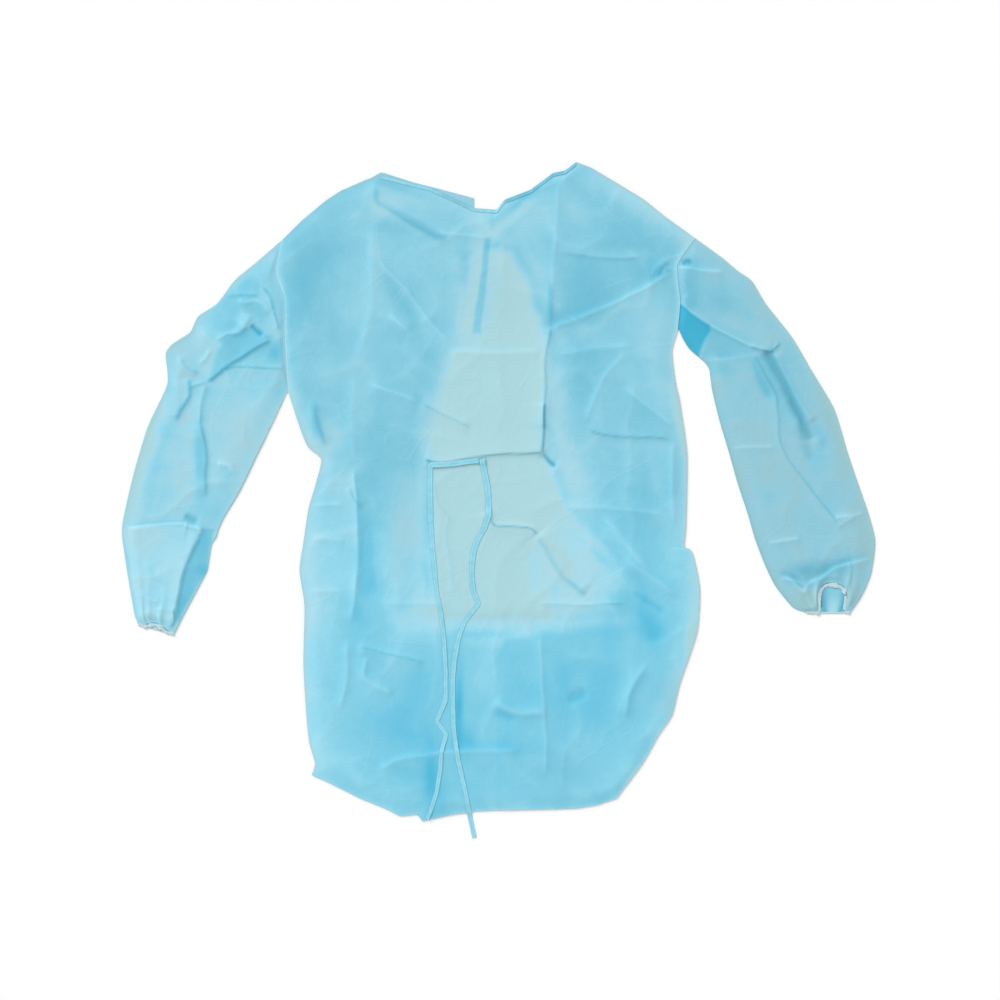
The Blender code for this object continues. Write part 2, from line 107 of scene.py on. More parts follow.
def resample(points: Points, cells: int) -> Points:
    """Places points at even distances along a polyline.

    Args:
        points: The polyline, a row for each point.
        cells: How many steps it is cut into.

    Returns:
        cells + 1 points.
    """
    lengths = np.linalg.norm(np.diff(points, axis=0), axis=1)
    run = np.concatenate([[0], np.cumsum(lengths)])
    at = np.linspace(0, run[-1], cells + 1)
    return np.column_stack([np.interp(at, run, points[:, k]) for k in range(points.shape[1])])


def smooth_curve(table: Table, cells: int) -> Points:
    """Runs a smooth curve through a table's points.

    Args:
        table: The points, in millimetres.
        cells: How many even steps the curve is cut into.

    Returns:
        cells + 1 points, in metres.
    """
    knots = np.array(table, float) * MM
    ends = (2 * knots[0] - knots[1], 2 * knots[-1] - knots[-2])
    padded = np.vstack([ends[0], knots, ends[1]])
    steps = np.linspace(0, 1, CURVE_STEPS, endpoint=False)[:, None]
    dense = []
    for a, b, c, d in zip(padded, padded[1:], padded[2:], padded[3:]):
        start, end = (c - a) / 3, (d - b) / 3
        curve = (2 * steps**3 - 3 * steps**2 + 1) * b + (steps**3 - 2 * steps**2 + steps) * start
        curve += (3 * steps**2 - 2 * steps**3) * c + (steps**3 - steps**2) * end
        dense.append(curve)
    return resample(np.vstack([*dense, knots[-1:]]), cells)


def edge_height(table: Table, x: Points) -> Points:
    """The y of an edge at each x, in metres, from a table that runs from left to right."""
    rows = np.array(table, float) * MM
    return np.interp(x, rows[:, 0], rows[:, 1])


def wave(places: Points, size: float, seed: float) -> Points:
    """Smooth noise over plan points.

    Args:
        places: Plan points, in metres, in any shape that ends in x and y.
        size: The length of one wave, in metres.
        seed: Where in the noise to look, so that two calls differ.

    Returns:
        A value from about -1 to 1 for each point.
    """
    flat = places.reshape(-1, 2) / size
    found = [noise.noise(Vector((x, y, seed))) for x, y in flat.tolist()]
    return np.array(found).reshape(places.shape[:-1])


def ridges(places: Points, size: float, seed: float) -> Points:
    """Noise with sharp crests, from 0 to 1, as a crumpled sheet has."""
    return 1.0 - np.minimum(np.abs(wave(places, size, seed)) * CREST_SHARPNESS, 1.0)


def wander(places: Points, size: float, reach: float, seed: float) -> Points:
    """Plan points moved about by smooth noise, so that straight creases come out uneven."""
    drift = [wave(places, size, seed), wave(places, size, seed + SECOND_DRIFT)]
    return places + np.stack(drift, axis=-1) * reach


class Route:
    """A line across the cloth that tells how far each place is from it, and on which side."""

    def __init__(self, line: Points) -> None:
        """Keeps the line.

        Args:
            line: Its points, in metres.
        """
        self.line = line
        lengths = np.linalg.norm(np.diff(line, axis=0), axis=1)
        self.runs = np.concatenate([[0], np.cumsum(lengths)])

    @classmethod
    def through(cls, table: Table) -> "Route":
        """A route through a table's points, in millimetres, curved if it has more than two."""
        if len(table) > 2:
            return cls(smooth_curve(table, ROUTE_CELLS * (len(table) - 1)))
        return cls(np.array(table, float) * MM)

    @property
    def length(self) -> float:
        """The length of the line, in metres."""
        return float(self.runs[-1])

    def nearest(self, places: Points) -> tuple[Points, Points, Points]:
        """Measures places against the line.

        Args:
            places: Plan points, in rows.

        Returns:
            How far each is from the line, above zero if it is to the left of it, then how far
            along the line its nearest point is, then the plain distance.
        """
        best = np.full(len(places), np.inf)
        signed = np.zeros(len(places))
        along = np.zeros(len(places))
        for start, end, run in zip(self.line, self.line[1:], self.runs):
            way = end - start
            length = np.linalg.norm(way)
            share = np.clip(((places - start) @ way) / length**2, 0, 1)
            off = places - start - share[:, None] * way
            gap = np.linalg.norm(off, axis=1)
            turn = way[0] * off[:, 1] - way[1] * off[:, 0]
            closer = gap < best
            best = np.where(closer, gap, best)
            signed = np.where(closer, np.where(turn >= 0, gap, -gap), signed)
            along = np.where(closer, run + share * length, along)
        return signed, along, best


@dataclass
class Form:
    """What creases and layers make of a piece of cloth, a value for each place."""

    height: Points
    plies: Points
    shade: Points

    @classmethod
    def flat(cls, count: int, height: float, plies: float) -> "Form":
        """A form that is the same everywhere."""
        return cls(np.full(count, height), np.full(count, plies), np.zeros(count))

    def shaped(self, shape: tuple[int, ...]) -> "Form":
        """The same form, with its values in the rows and columns of a grid."""
        return Form(*(values.reshape(shape) for values in (self.height, self.plies, self.shade)))


@dataclass(frozen=True)
class Crease:
    """A crease or fold along a line, in millimetres.

    rise is how far it stands up, or sinks if it is below zero. left and right are how far from
    the line it has fallen to a third, on each side of it. crisp is 1 for a sharp crest and 2 for
    a round one. ends is the length over which it dies out at each end. dark is how many layers
    more show along it, which in a sunken crease also stands for painted shade in its hollow; below
    zero it is how strong a painted highlight along its crest is. tilt is how many more layers show
    beside it on its left than on its right. shade is how deep its painted shadow is, from 0 to 1.
    """

    line: Table
    rise: float
    left: float
    right: float
    crisp: float = 1.3
    ends: float = 45.0
    dark: float = 0.0
    dark_width: float = 3.0
    tilt: float = 0.0
    tilt_width: float = 26.0
    shade: float = 0.0
    shade_width: float = 1.9

    def add_to(self, places: Points, form: Form) -> None:
        """Adds the crease to the form of the cloth at each place."""
        route = Route.through(self.line)
        widest = max(self.left, self.right, self.dark_width, self.tilt_width)
        reach = CREASE_REACH * widest * MM
        low, high = route.line.min(0) - reach, route.line.max(0) + reach
        near = np.flatnonzero(((places > low) & (places < high)).all(1))
        if not len(near):
            return
        signed, along, gap = route.nearest(places[near])
        width = np.where(signed > 0, self.left, self.right) * MM
        ends = min(self.ends * MM, route.length / 2)
        fade = ease(along / ends) * ease((route.length - along) / ends)
        form.height[near] += self.rise * MM * np.exp(-((gap / width) ** self.crisp)) * fade
        line = self.dark * np.exp(-((gap / (self.dark_width * MM)) ** 2)) * fade
        form.plies[near] += np.maximum(line, 0.0)
        # painted highlight along the crest where dark is below zero
        form.shade[near] += CREST_GLINT * np.minimum(line, 0.0)
        lean = 0.5 * self.tilt * np.tanh(signed / TILT_STEP)
        form.plies[near] += lean * np.exp(-gap / (self.tilt_width * MM)) * fade
        form.shade[near] += self.shade * np.exp(-((gap / (self.shade_width * MM)) ** 2)) * fade


@dataclass(frozen=True)
class Patch:
    """A stretch where more or fewer layers show through the cloth on top.

    outline goes round it, in millimetres. plies is the difference, soft how far its edge takes to
    fade, lift how far the cloth there stands higher, and shade how deep its painted shadow is, or
    how strong a painted highlight is if it is below zero.
    """

    outline: Table
    plies: float
    soft: float
    lift: float = 0.0
    shade: float = 0.0

    def share(self, places: Points) -> Points:
        """How much of each place lies inside, from 0 to 1."""
        ring = np.array([*self.outline, self.outline[0]], float) * MM
        gap = Route(ring).nearest(places)[2]
        inside = np.zeros(len(places), bool)
        for (x0, y0), (x1, y1) in zip(ring, ring[1:]):
            spans = (y0 > places[:, 1]) != (y1 > places[:, 1])
            if y0 != y1:
                cross = x0 + (places[:, 1] - y0) / (y1 - y0) * (x1 - x0)
                inside ^= spans & (places[:, 0] < cross)
        signed = np.where(inside, gap, -gap)
        return ease(0.5 + signed / (2 * self.soft * MM))

    def add_to(self, places: Points, form: Form) -> None:
        """Adds the patch to the form of the cloth at each place."""
        share = self.share(places)
        form.plies += self.plies * share
        form.height += self.lift * MM * share
        form.shade += self.shade * share


@dataclass(frozen=True)
class Touch:
    """A soft round stretch where the layers touch, or stand apart if plies is below zero.

    x, y and the two reaches are in millimetres. turn turns it anticlockwise, in degrees. plies
    stands partly for painted fold shade as well. shade is how deep its painted shadow is, or how
    strong its painted highlight is if it is below zero.
    """

    x: float
    y: float
    reach_x: float
    reach_y: float
    plies: float
    turn: float = 0.0
    shade: float = 0.0

    def add_to(self, places: Points, form: Form) -> None:
        """Adds the stretch to the form of the cloth at each place."""
        off = places / MM - np.array([self.x, self.y])
        turn = math.radians(self.turn)
        across = (off[:, 0] * math.cos(turn) + off[:, 1] * math.sin(turn)) / self.reach_x
        along = (off[:, 1] * math.cos(turn) - off[:, 0] * math.sin(turn)) / self.reach_y
        share = np.exp(-(across**2 + along**2))
        form.plies += self.plies * share
        form.shade += self.shade * share


@dataclass(frozen=True)
class Relief:
    """The finer form of one piece of cloth: its creases, its layers and its own crumple.

    Each row of touches has a Touch's x, y, two reaches and plies, then its turn and shade if any.
    puff is how high the cloth lies at least, in millimetres, swell its broad waves and crumple its
    small crests. clouds is how many layers more or fewer its clouds show, and stand_off how many
    fewer show on a crest. Each drift is the size and the reach of the noise that bends the lines,
    in metres.
    """

    creases: tuple[Crease, ...]
    patches: tuple[Patch, ...]
    touches: Rows
    seed: float
    puff: float = 0.8
    swell: float = 1.6
    crumple: float = 0.9
    most: float = 13.0
    clouds: float = 0.16
    stand_off: float = 0.2
    line_drift: Span = (0.045, 0.0025)
    crest_drift: Span = (0.06, 0.012)
    fine_drift: Span = (0.02, 0.005)
    broad_size: float = 0.17
    crest_size: float = 0.115
    fine_size: float = 0.034
    fine_share: float = 0.45
    patchy_size: float = 0.09

    def over(self, grid: Points, plies: float) -> Form:
        """Works out the cloth over a grid of plan points.

        Args:
            grid: Plan points, in metres.
            plies: How many layers show where nothing changes it.

        Returns:
            The form of each point: its height is over what it lies on, in metres.
        """
        places = wander(grid, *self.line_drift, self.seed).reshape(-1, 2)
        flat = grid.reshape(-1, 2)
        form = Form.flat(len(flat), self.puff * MM, plies)
        for part in (*self.creases, *self.patches, *(Touch(*row) for row in self.touches)):
            part.add_to(places, form)
        broad = 0.5 + 0.5 * wave(flat, self.broad_size, self.seed + 1.0)
        crests = ridges(wander(flat, *self.crest_drift, self.seed + 2.0), self.crest_size,
                        self.seed + 3.0)
        fine = ridges(wander(flat, *self.fine_drift, self.seed + 4.0), self.fine_size,
                      self.seed + 5.0)
        patchy = ease(0.5 + 1.4 * wave(flat, self.patchy_size, self.seed + 6.0))
        crumple = crests**3 + self.fine_share * fine**4 * patchy
        form.height += (self.swell * broad + self.crumple * crumple) * MM
        form.plies += self.cloud(flat) - self.stand_off * crumple
        most = self.most * MM
        form.height = most * np.tanh(np.maximum(form.height, 0.0) / most)
        return form.shaped(grid.shape[:-1])

    def cloud(self, places: Points) -> Points:
        """How many layers more or fewer show because the layers touch or stand apart."""
        wide = wave(wander(places, 0.08, 0.02, self.seed + 8.0), 0.13, self.seed + 9.0)
        middle = wave(wander(places, 0.04, 0.012, self.seed + 10.0), 0.055, self.seed + 11.0)
        small = wave(places, 0.024, self.seed + 12.0)
        return self.clouds * (1.3 * wide + 0.9 * middle + 0.45 * small)


@dataclass(frozen=True)
class BodyCut:
    """The outline of the body, which its front, its back and both armholes share."""

    left_armhole: Table = ((-392, 468), (-401, 410), (-385, 362), (-385, 288), (-380, 198))
    right_armhole: Table = ((353, 473), (321, 424), (326, 360), (322, 311))
    left_side: Table = (
        (-380, 198), (-363, 146), (-345, 99), (-320, 75), (-330, 30), (-343, -15), (-352, -75),
        (-359, -125), (-350, -190), (-352, -293), (-346, -394), (-341, -437), (-331, -472),
        (-337, -493),
    )
    right_side: Table = (
        (322, 311), (311, 270), (317, 214), (325, 178), (338, 83), (336, -40), (333, -76),
        (334, -84), (344, -87), (351, -104), (361, -160), (356, -236), (325, -329),
        (311, -385), (287, -421), (258, -472), (211, -535),
    )
    hem: Table = (
        (-337, -493), (-308, -506), (-250, -535), (-203, -554), (-178, -567), (-146, -563),
        (-139, -576), (-90, -565), (-43, -558), (2, -556), (139, -553), (175, -547), (211, -535),
    )
    top_share: float = 0.42
    hem_share: float = 0.28

    def sides(self, armhole_cells: int, side_cells: int) -> tuple[Points, Points]:
        """The two side edges, armhole and side seam in one."""
        return tuple(
            np.vstack([smooth_curve(armhole, armhole_cells), smooth_curve(seam, side_cells)[1:]])
            for armhole, seam in ((self.left_armhole, self.left_side),
                                  (self.right_armhole, self.right_side))
        )

    def patch(self, left: Points, right: Points, top: Table, cells: int) -> Points:
        """Fills the stretch between two edges with a grid of plan points.

        Args:
            left: The left edge's points, from the top down.
            right: As many points down the right edge.
            top: The top edge. Its shape fades out further down, and so does the hem's.
            cells: How many cells lie between the edges.

        Returns:
            The grid, a row for each pair of points.
        """
        across = np.linspace(0, 1, cells + 1)[None, :, None]
        down = np.linspace(0, 1, len(left))[:, None]
        grid = left[:, None] * (1 - across) + right[:, None] * across
        fade = ease(1 - down / self.top_share)
        grid[:, :, 1] += fade * (edge_height(top, grid[0, :, 0]) - grid[0, :, 1])
        fade = ease(1 - (1 - down) / self.hem_share)
        grid[:, :, 1] += fade * (edge_height(self.hem, grid[-1, :, 0]) - grid[-1, :, 1])
        return grid


def lie(places: Points, height: Points) -> Points:
    """Plan points with their heights, moved from the tables' middle to the frame's."""
    return np.concatenate([places + SHIFT, height[..., None]], axis=-1)


def table_shift(corner: tuple[float, float], node: str) -> Points:
    """How far the frame's solids lie from the tables.

    Args:
        corner: A corner of the piece in the tables, in millimetres.
        node: The piece's solid.

    Returns:
        The way from the table's corner to the solid's own, in metres.
    """
    wanted = np.array(corner) * MM
    points = np.array([vertex.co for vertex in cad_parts[node].data.vertices], float)
    near = points[np.linalg.norm(points[:, :2] - wanted, axis=1) < CORNER_REACH]
    return near[near[:, 2].argmin(), :2] - wanted


BODY = BodyCut()
SHIFT = table_shift(BODY.left_armhole[0], "front_panel")


def inset_share(rows: int, columns: int, band: Span) -> Points:
    """0 on the edges of a grid and 1 further in, over a share of its rows and columns."""
    down, across = np.linspace(0, 1, rows)[:, None], np.linspace(0, 1, columns)[None, :]
    rows_in = np.minimum(down, 1 - down) / band[0]
    columns_in = np.minimum(across, 1 - across) / band[1]
    return ease(np.minimum(rows_in, columns_in))


def edge_line(rows: int, columns: int, ends: bool = False) -> Points:
    """How near each point of a grid is to its side edges, and to its ends if ends is set."""
    across = np.arange(columns)
    near = np.exp(-np.minimum(across, across[::-1]) / RIM_COLUMNS)[None, :]
    if ends:
        down = np.arange(rows)
        near = np.maximum(near, np.exp(-np.minimum(down, down[::-1]) / RIM_ROWS)[:, None])
    return np.broadcast_to(near, (rows, columns))


def sheet_mesh(name: str, points: Points, closed: bool = False) -> bpy.types.Mesh:
    """Makes a skin from a grid operator and lays it on a grid of points.

    Args:
        name: The mesh's name.
        points: Rows and columns of places, in metres.
        closed: Whether the last column meets the first, as round a tube.

    Returns:
        The mesh, its vertices row by row.
    """
    rows, columns = points.shape[:2]
    skin = bmesh.new()
    bmesh.ops.create_grid(skin, x_segments=columns - 1, y_segments=rows - 1, size=0.5)
    for vertex in skin.verts:
        row = rows - 1 - round((vertex.co.y + 0.5) * (rows - 1))
        column = round((vertex.co.x + 0.5) * (columns - 1))
        vertex.co = points[row, column]
    if closed:
        bmesh.ops.remove_doubles(skin, verts=skin.verts, dist=1e-6)
        bmesh.ops.recalc_face_normals(skin, faces=skin.faces)
    made = bpy.data.meshes.new(name)
    skin.to_mesh(made)
    skin.free()
    return made


class Maker:
    """Finishes pieces: gives a skin its wall, its material and its place in the frame."""

    facing_down = -0.3
    sharp_edge = math.radians(52)

    @staticmethod
    def paint(mesh: bpy.types.Mesh, points: Points, **layers: Points | float) -> None:
        """Writes values from a grid of points to the mesh's vertices.

        Args:
            mesh: The mesh, whose vertices lie on the grid's points.
            points: The grid's points.
            layers: A value for each point, or one for all, by the attribute's name.
        """
        flat = np.round(points.reshape(-1, 3).astype(np.float32), 6).tolist()
        place = np.zeros(len(mesh.vertices) * 3, np.float32)
        mesh.vertices.foreach_get("co", place)
        keys = np.round(place.reshape(-1, 3), 6).tolist()
        for attribute, values in layers.items():
            each = np.broadcast_to(values, points.shape[:-1]).ravel().tolist()
            lookup = {tuple(key): value for key, value in zip(flat, each)}
            layer = mesh.attributes.new(attribute, "FLOAT", "POINT")
            layer.data.foreach_set("value", [lookup[tuple(key)] for key in keys])

    @staticmethod
    def add(name: str, mesh: bpy.types.Mesh, material: bpy.types.Material) -> bpy.types.Object:
        """Puts a mesh in the scene as an object of this name."""
        piece = bpy.data.objects.new(name, mesh)
        bpy.context.scene.collection.objects.link(piece)
        mesh.materials.append(material)
        return piece

    @classmethod
    def wall(cls, piece: bpy.types.Object, thickness: float, offset: float,
             under: float = 1.0) -> bpy.types.Object:
        """Thickens a skin and keeps the result as the piece's own mesh.

        Args:
            piece: The piece, still a skin.
            thickness: Its wall, in metres.
            offset: 1 to grow outwards from the skin, -1 to grow inwards.
            under: The share of the whole's faces that stays when its underside is thinned out.

        Returns:
            The piece.
        """
        solidify = piece.modifiers.new("wall", "SOLIDIFY")
        solidify.thickness = thickness
        solidify.offset = offset
        solidify.use_even_offset = False
        cls.settle(piece)
        if under < 1.0:
            group = piece.vertex_groups.new(name="under")
            lower = [v.index for v in piece.data.vertices if v.normal.z < cls.facing_down]
            group.add(lower, 1.0, "REPLACE")
            thinned = piece.modifiers.new("under", "DECIMATE")
            thinned.ratio = under
            thinned.vertex_group = group.name
            cls.settle(piece)
        piece.data.shade_smooth()
        piece.data.set_sharp_from_angle(angle=cls.sharp_edge)
        return piece

    @staticmethod
    def settle(piece: bpy.types.Object) -> None:
        """Turns what a piece's modifiers make of it into its own mesh."""
        ready = bpy.context.evaluated_depsgraph_get()
        made = bpy.data.meshes.new_from_object(piece.evaluated_get(ready))
        old = piece.data
        piece.modifiers.clear()
        piece.data = made
        bpy.data.meshes.remove(old)
        made.name = piece.name

    @staticmethod
    def seat(piece: bpy.types.Object, slot: Slot, *nodes: str) -> bpy.types.Object:
        """Lets a piece ride with the gown and stand for its solids."""
        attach(piece, ROOT)
        if nodes:
            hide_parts(*nodes)
        log.info("%s: %d faces", piece.name, len(piece.data.polygons))
        return piece


class NodeBench:
    """A Principled material whose nodes are placed and joined by short calls."""

    def __init__(self, name: str) -> None:
        """Starts the material of this name."""
        self.material = bpy.data.materials.new(name)
        self.material.use_nodes = True
        self.tree = self.material.node_tree
        self.shader = self.tree.nodes["Principled BSDF"]

    def node(self, kind: str, **settings: object) -> bpy.types.Node:
        """Adds a node.

        Args:
            kind: Its type's name, without the ShaderNode before it.
            settings: Its properties by name.

        Returns:
            The node.
        """
        made = self.tree.nodes.new("ShaderNode" + kind)
        for key, value in settings.items():
            setattr(made, key, value)
        return made

    def link(self, source: bpy.types.NodeSocket, target: bpy.types.NodeSocket) -> None:
        """Joins two sockets."""
        self.tree.links.new(source, target)

    def math(self, operation: str, first: object, second: object = 0.0) -> bpy.types.NodeSocket:
        """Adds a Math node on two sockets or numbers and returns its output."""
        made = self.node("Math", operation=operation)
        for socket, value in zip(made.inputs, (first, second)):
            if isinstance(value, bpy.types.NodeSocket):
                self.link(value, socket)
            else:
                socket.default_value = value
        return made.outputs[0]

    def noise(self, size: float, detail: float, stretch: tuple[float, float, float] = (1, 1, 1),
              roughness: float = 0.55) -> bpy.types.NodeSocket:
        """Adds noise in the object's own coordinates and returns its value.

        Args:
            size: The length of its waves, in metres.
            detail: How many finer octaves it has.
            stretch: How much closer its waves are along X, Y and Z.
            roughness: How strong the finer octaves are.

        Returns:
            The noise's value, from 0 to 1.
        """
        place = self.node("TexCoord")
        turned = self.node("Mapping")
        turned.inputs["Scale"].default_value = stretch
        made = self.node("TexNoise")
        made.inputs["Scale"].default_value = 1.0 / size
        made.inputs["Detail"].default_value = detail
        made.inputs["Roughness"].default_value = roughness
        self.link(place.outputs["Object"], turned.inputs["Vector"])
        self.link(turned.outputs["Vector"], made.inputs["Vector"])
        return made.outputs["Fac"]

    def facets(self, size: float, warp: float, turn: float) -> tuple[bpy.types.NodeSocket, ...]:
        """Adds the facets of a crumpled sheet, in the object's own coordinates.

        Args:
            size: How wide a facet is, in metres.
            warp: How far the facets' edges are bent, in metres.
            turn: How far the pattern is turned, in degrees.

        Returns:
            How far each place is from a facet's edge, in metres, and the facet's own tone.
        """
        place = self.node("TexCoord")
        drift = self.node("TexNoise")
        drift.inputs["Scale"].default_value = 1.0 / size
        drift.inputs["Detail"].default_value = 1.0
        self.link(place.outputs["Object"], drift.inputs["Vector"])
        bent = self.node("VectorMath", operation="MULTIPLY_ADD")
        bent.inputs[1].default_value = (warp, warp, warp)
        self.link(drift.outputs["Color"], bent.inputs[0])
        self.link(place.outputs["Object"], bent.inputs[2])
        turned = self.node("Mapping")
        turned.inputs["Rotation"].default_value = (0.0, 0.0, math.radians(turn))
        self.link(bent.outputs["Vector"], turned.inputs["Vector"])
        found = []
        for feature, output in (("DISTANCE_TO_EDGE", "Distance"), ("F1", "Color")):
            cells = self.node("TexVoronoi", feature=feature, voronoi_dimensions="2D")
            cells.inputs["Scale"].default_value = 1.0 / size
            self.link(turned.outputs["Vector"], cells.inputs["Vector"])
            found.append(cells.outputs[output])
        return self.math("MULTIPLY", found[0], size), found[1]

    def crests(self, distance: bpy.types.NodeSocket, width: float) -> bpy.types.NodeSocket:
        """1 on a facet's edge, falling to 0 over a width in metres."""
        fall = self.math("SUBTRACT", 1.0, self.math("DIVIDE", distance, width))
        return self.math("POWER", self.math("MAXIMUM", fall, 0.0), 1.6)

    def ramp(self, value: bpy.types.NodeSocket,
             stops: tuple[tuple[float, tuple[float, float, float]], ...]) -> bpy.types.NodeSocket:
        """Adds a colour ramp over a value and returns its colour.

        Args:
            value: What picks the colour, from 0 to 1.
            stops: Places on the ramp with their colours.

        Returns:
            The colour.
        """
        made = self.node("ValToRGB")
        elements = made.color_ramp.elements
        while len(elements) < len(stops):
            elements.new(0.5)
        for element, (place, colour) in zip(elements, stops):
            element.position = place
            element.color = (*colour, 1.0)
        self.link(value, made.inputs["Fac"])
        return made.outputs["Color"]

    def mix(self, colour: bpy.types.NodeSocket, other: tuple[float, float, float],
            share: bpy.types.NodeSocket, blend: str = "MIX") -> bpy.types.NodeSocket:
        """Blends a plain colour into another one by a share, and returns the result."""
        made = self.node("Mix", data_type="RGBA", blend_type=blend)
        self.link(colour, made.inputs["A"])
        made.inputs["B"].default_value = (*other, 1.0)
        self.link(share, made.inputs["Factor"])
        return made.outputs["Result"]

    def bump(self, height: bpy.types.NodeSocket, distance: float, strength: float,
             below: bpy.types.NodeSocket | None = None) -> bpy.types.NodeSocket:
        """Adds a bump, on another one if that is given, and returns its normal."""
        made = self.node("Bump")
        made.inputs["Strength"].default_value = strength
        made.inputs["Distance"].default_value = distance
        self.link(height, made.inputs["Height"])
        if below is not None:
            self.link(below, made.inputs["Normal"])
        return made.outputs["Normal"]

    def limited(self, value: bpy.types.NodeSocket) -> bpy.types.NodeSocket:
        """A value held between 0 and 1."""
        return self.math("MINIMUM", self.math("MAXIMUM", value, 0.0), 1.0)

    def sway(self, value: bpy.types.NodeSocket, share: float) -> bpy.types.NodeSocket:
        """How far a value is from 0.5, times a share."""
        return self.math("MULTIPLY", self.math("SUBTRACT", value, 0.5), share)

    def attribute(self, name: str) -> bpy.types.NodeSocket:
        """Adds a point attribute's value."""
        made = self.node("Attribute", attribute_name=name)
        return made.outputs["Fac"]

    def finished(self, inputs: dict[str, object]) -> bpy.types.Material:
        """Gives the shader's inputs their sockets or plain values, and returns the material."""
        for name, value in inputs.items():
            if isinstance(value, bpy.types.NodeSocket):
                self.link(value, self.shader.inputs[name])
            else:
                self.shader.inputs[name].default_value = value
        return self.material


def linear(red: float, green: float, blue: float) -> tuple[float, float, float]:
    """A colour of 0 to 255, as a screen shows it, in the renderer's own scale."""
    shares = (value / 255 for value in (red, green, blue))
    return tuple(s / 12.92 if s <= 0.04045 else ((s + 0.055) / 1.055) ** 2.4 for s in shares)


@dataclass(frozen=True)
class NonwovenFinish:
    """Thin spun-bonded cloth: its colour deepens with each layer under it."""

    name: str = "nonwoven_cloth"
    tones: tuple[tuple[float, tuple[float, float, float]], ...] = (
        (1.0, linear(172, 216, 224)), (1.3, linear(166, 220, 236)), (1.65, linear(148, 217, 238)),
        (2.0, linear(130, 208, 231)), (3.0, linear(96, 194, 226)), (4.0, linear(58, 178, 212)),
    )
    most_plies: float = 4.0
    # the colour that the painted shade multiplies in
    shadow: tuple[float, float, float] = (0.40, 0.58, 0.62)
    mottle: float = 0.3
    wide_crest: float = 0.13
    small_crest: float = 0.07
    wide_tone: float = 0.14
    small_tone: float = 0.1
    # the painted highlight colour, mixed in where the shade attribute is below zero
    glint: tuple[float, float, float] = linear(176, 230, 246)
    cloud_size: float = 18 * MM
    fibre_size: float = 1.6 * MM
    fibre_stretch: float = 0.35
    web_plies: float = 0.35
    crumpled_size: float = 160 * MM
    crumpled_from: float = 0.38
    crumpled_rise: float = 3.2
    wide_facets: tuple[float, float, float] = (125 * MM, 50 * MM, 12.0)
    small_facets: tuple[float, float, float] = (47 * MM, 30 * MM, 57.0)
    crest_widths: Span = (3.4 * MM, 2.6 * MM)
    bond_turn: float = math.radians(38)
    bond_pitch: float = 2600.0
    roughness: float = 0.62
    rough_fibres: float = 0.16
    sheen: float = 0.1

    def material(self) -> bpy.types.Material:
        """Builds the material."""
        bench = NodeBench(self.name)
        long, short = 1.0, self.fibre_stretch
        fibres = bench.noise(self.fibre_size, 3.0, (long, short, 1.0), 0.7)
        crossed = bench.noise(self.fibre_size, 3.0, (short, long, 1.0), 0.7)
        here = bench.math("SUBTRACT", bench.noise(self.crumpled_size, 2.0), self.crumpled_from)
        here = bench.limited(bench.math("MULTIPLY", here, self.crumpled_rise))
        wide_edge, wide_tone = bench.facets(*self.wide_facets)
        small_edge, small_tone = bench.facets(*self.small_facets)
        wide_crest, small_crest = (
            bench.math("MULTIPLY", bench.crests(edge, width), here)
            for edge, width in zip((wide_edge, small_edge), self.crest_widths)
        )
        clouds = bench.noise(self.cloud_size, 5.0, roughness=0.62)
        web = bench.math("SUBTRACT", bench.math("ADD", fibres, crossed), 1.0)
        count = bench.attribute("plies")
        for more in (
            bench.sway(clouds, self.mottle),
            bench.math("MULTIPLY", wide_crest, -self.wide_crest),
            bench.math("MULTIPLY", small_crest, -self.small_crest),
            bench.sway(wide_tone, self.wide_tone), bench.sway(small_tone, self.small_tone),
            bench.math("MULTIPLY", web, self.web_plies),
        ):
            count = bench.math("ADD", count, more)
        share = bench.math("DIVIDE", bench.math("SUBTRACT", count, 1.0), self.most_plies - 1.0)
        stops = tuple(((n - 1.0) / (self.most_plies - 1.0), tone) for n, tone in self.tones)
        # painted shade: the shade attribute darkens the colour towards the shadow colour, and below
        # zero it mixes in the painted highlight colour
        shade = bench.attribute("shade")
        shaded = bench.mix(bench.ramp(share, stops), self.shadow, bench.limited(shade), "MULTIPLY")
        bright = bench.limited(bench.math("MULTIPLY", shade, -1.0))
        soft = bench.bump(bench.noise(0.011, 4.0, roughness=0.6), 0.0012, 0.35)
        pressed = bench.math("ADD", wide_crest, bench.math("MULTIPLY", small_crest, 0.5))
        creased = bench.bump(pressed, 0.0005, 0.5, soft)
        bonded = bench.bump(self.bond_points(bench), 0.00018, 0.5, creased)
        woolly = bench.bump(bench.math("ADD", fibres, crossed), 0.00016, 0.5, bonded)
        matt = bench.math("MULTIPLY", fibres, self.rough_fibres)
        return bench.finished({
            "Base Color": bench.mix(shaded, self.glint, bright),
            "Roughness": bench.math("ADD", matt, self.roughness - self.rough_fibres / 2),
            "Sheen Weight": self.sheen, "Sheen Roughness": 0.45, "Specular IOR Level": 0.35,
            "Normal": woolly,
        })

    def bond_points(self, bench: NodeBench) -> bpy.types.NodeSocket:
        """The small dots where the fibres are pressed together, in a slanted grid."""
        place = bench.node("TexCoord")
        turned = bench.node("Mapping")
        turned.inputs["Rotation"].default_value = (0.0, 0.0, self.bond_turn)
        turned.inputs["Scale"].default_value = (self.bond_pitch, self.bond_pitch, 1.0)
        bench.link(place.outputs["Object"], turned.inputs["Vector"])
        parts = bench.node("SeparateXYZ")
        bench.link(turned.outputs["Vector"], parts.inputs["Vector"])
        across = bench.math("SINE", parts.outputs["X"])
        along = bench.math("SINE", parts.outputs["Y"])
        return bench.math("MULTIPLY", bench.math("MULTIPLY", across, along), -0.5)


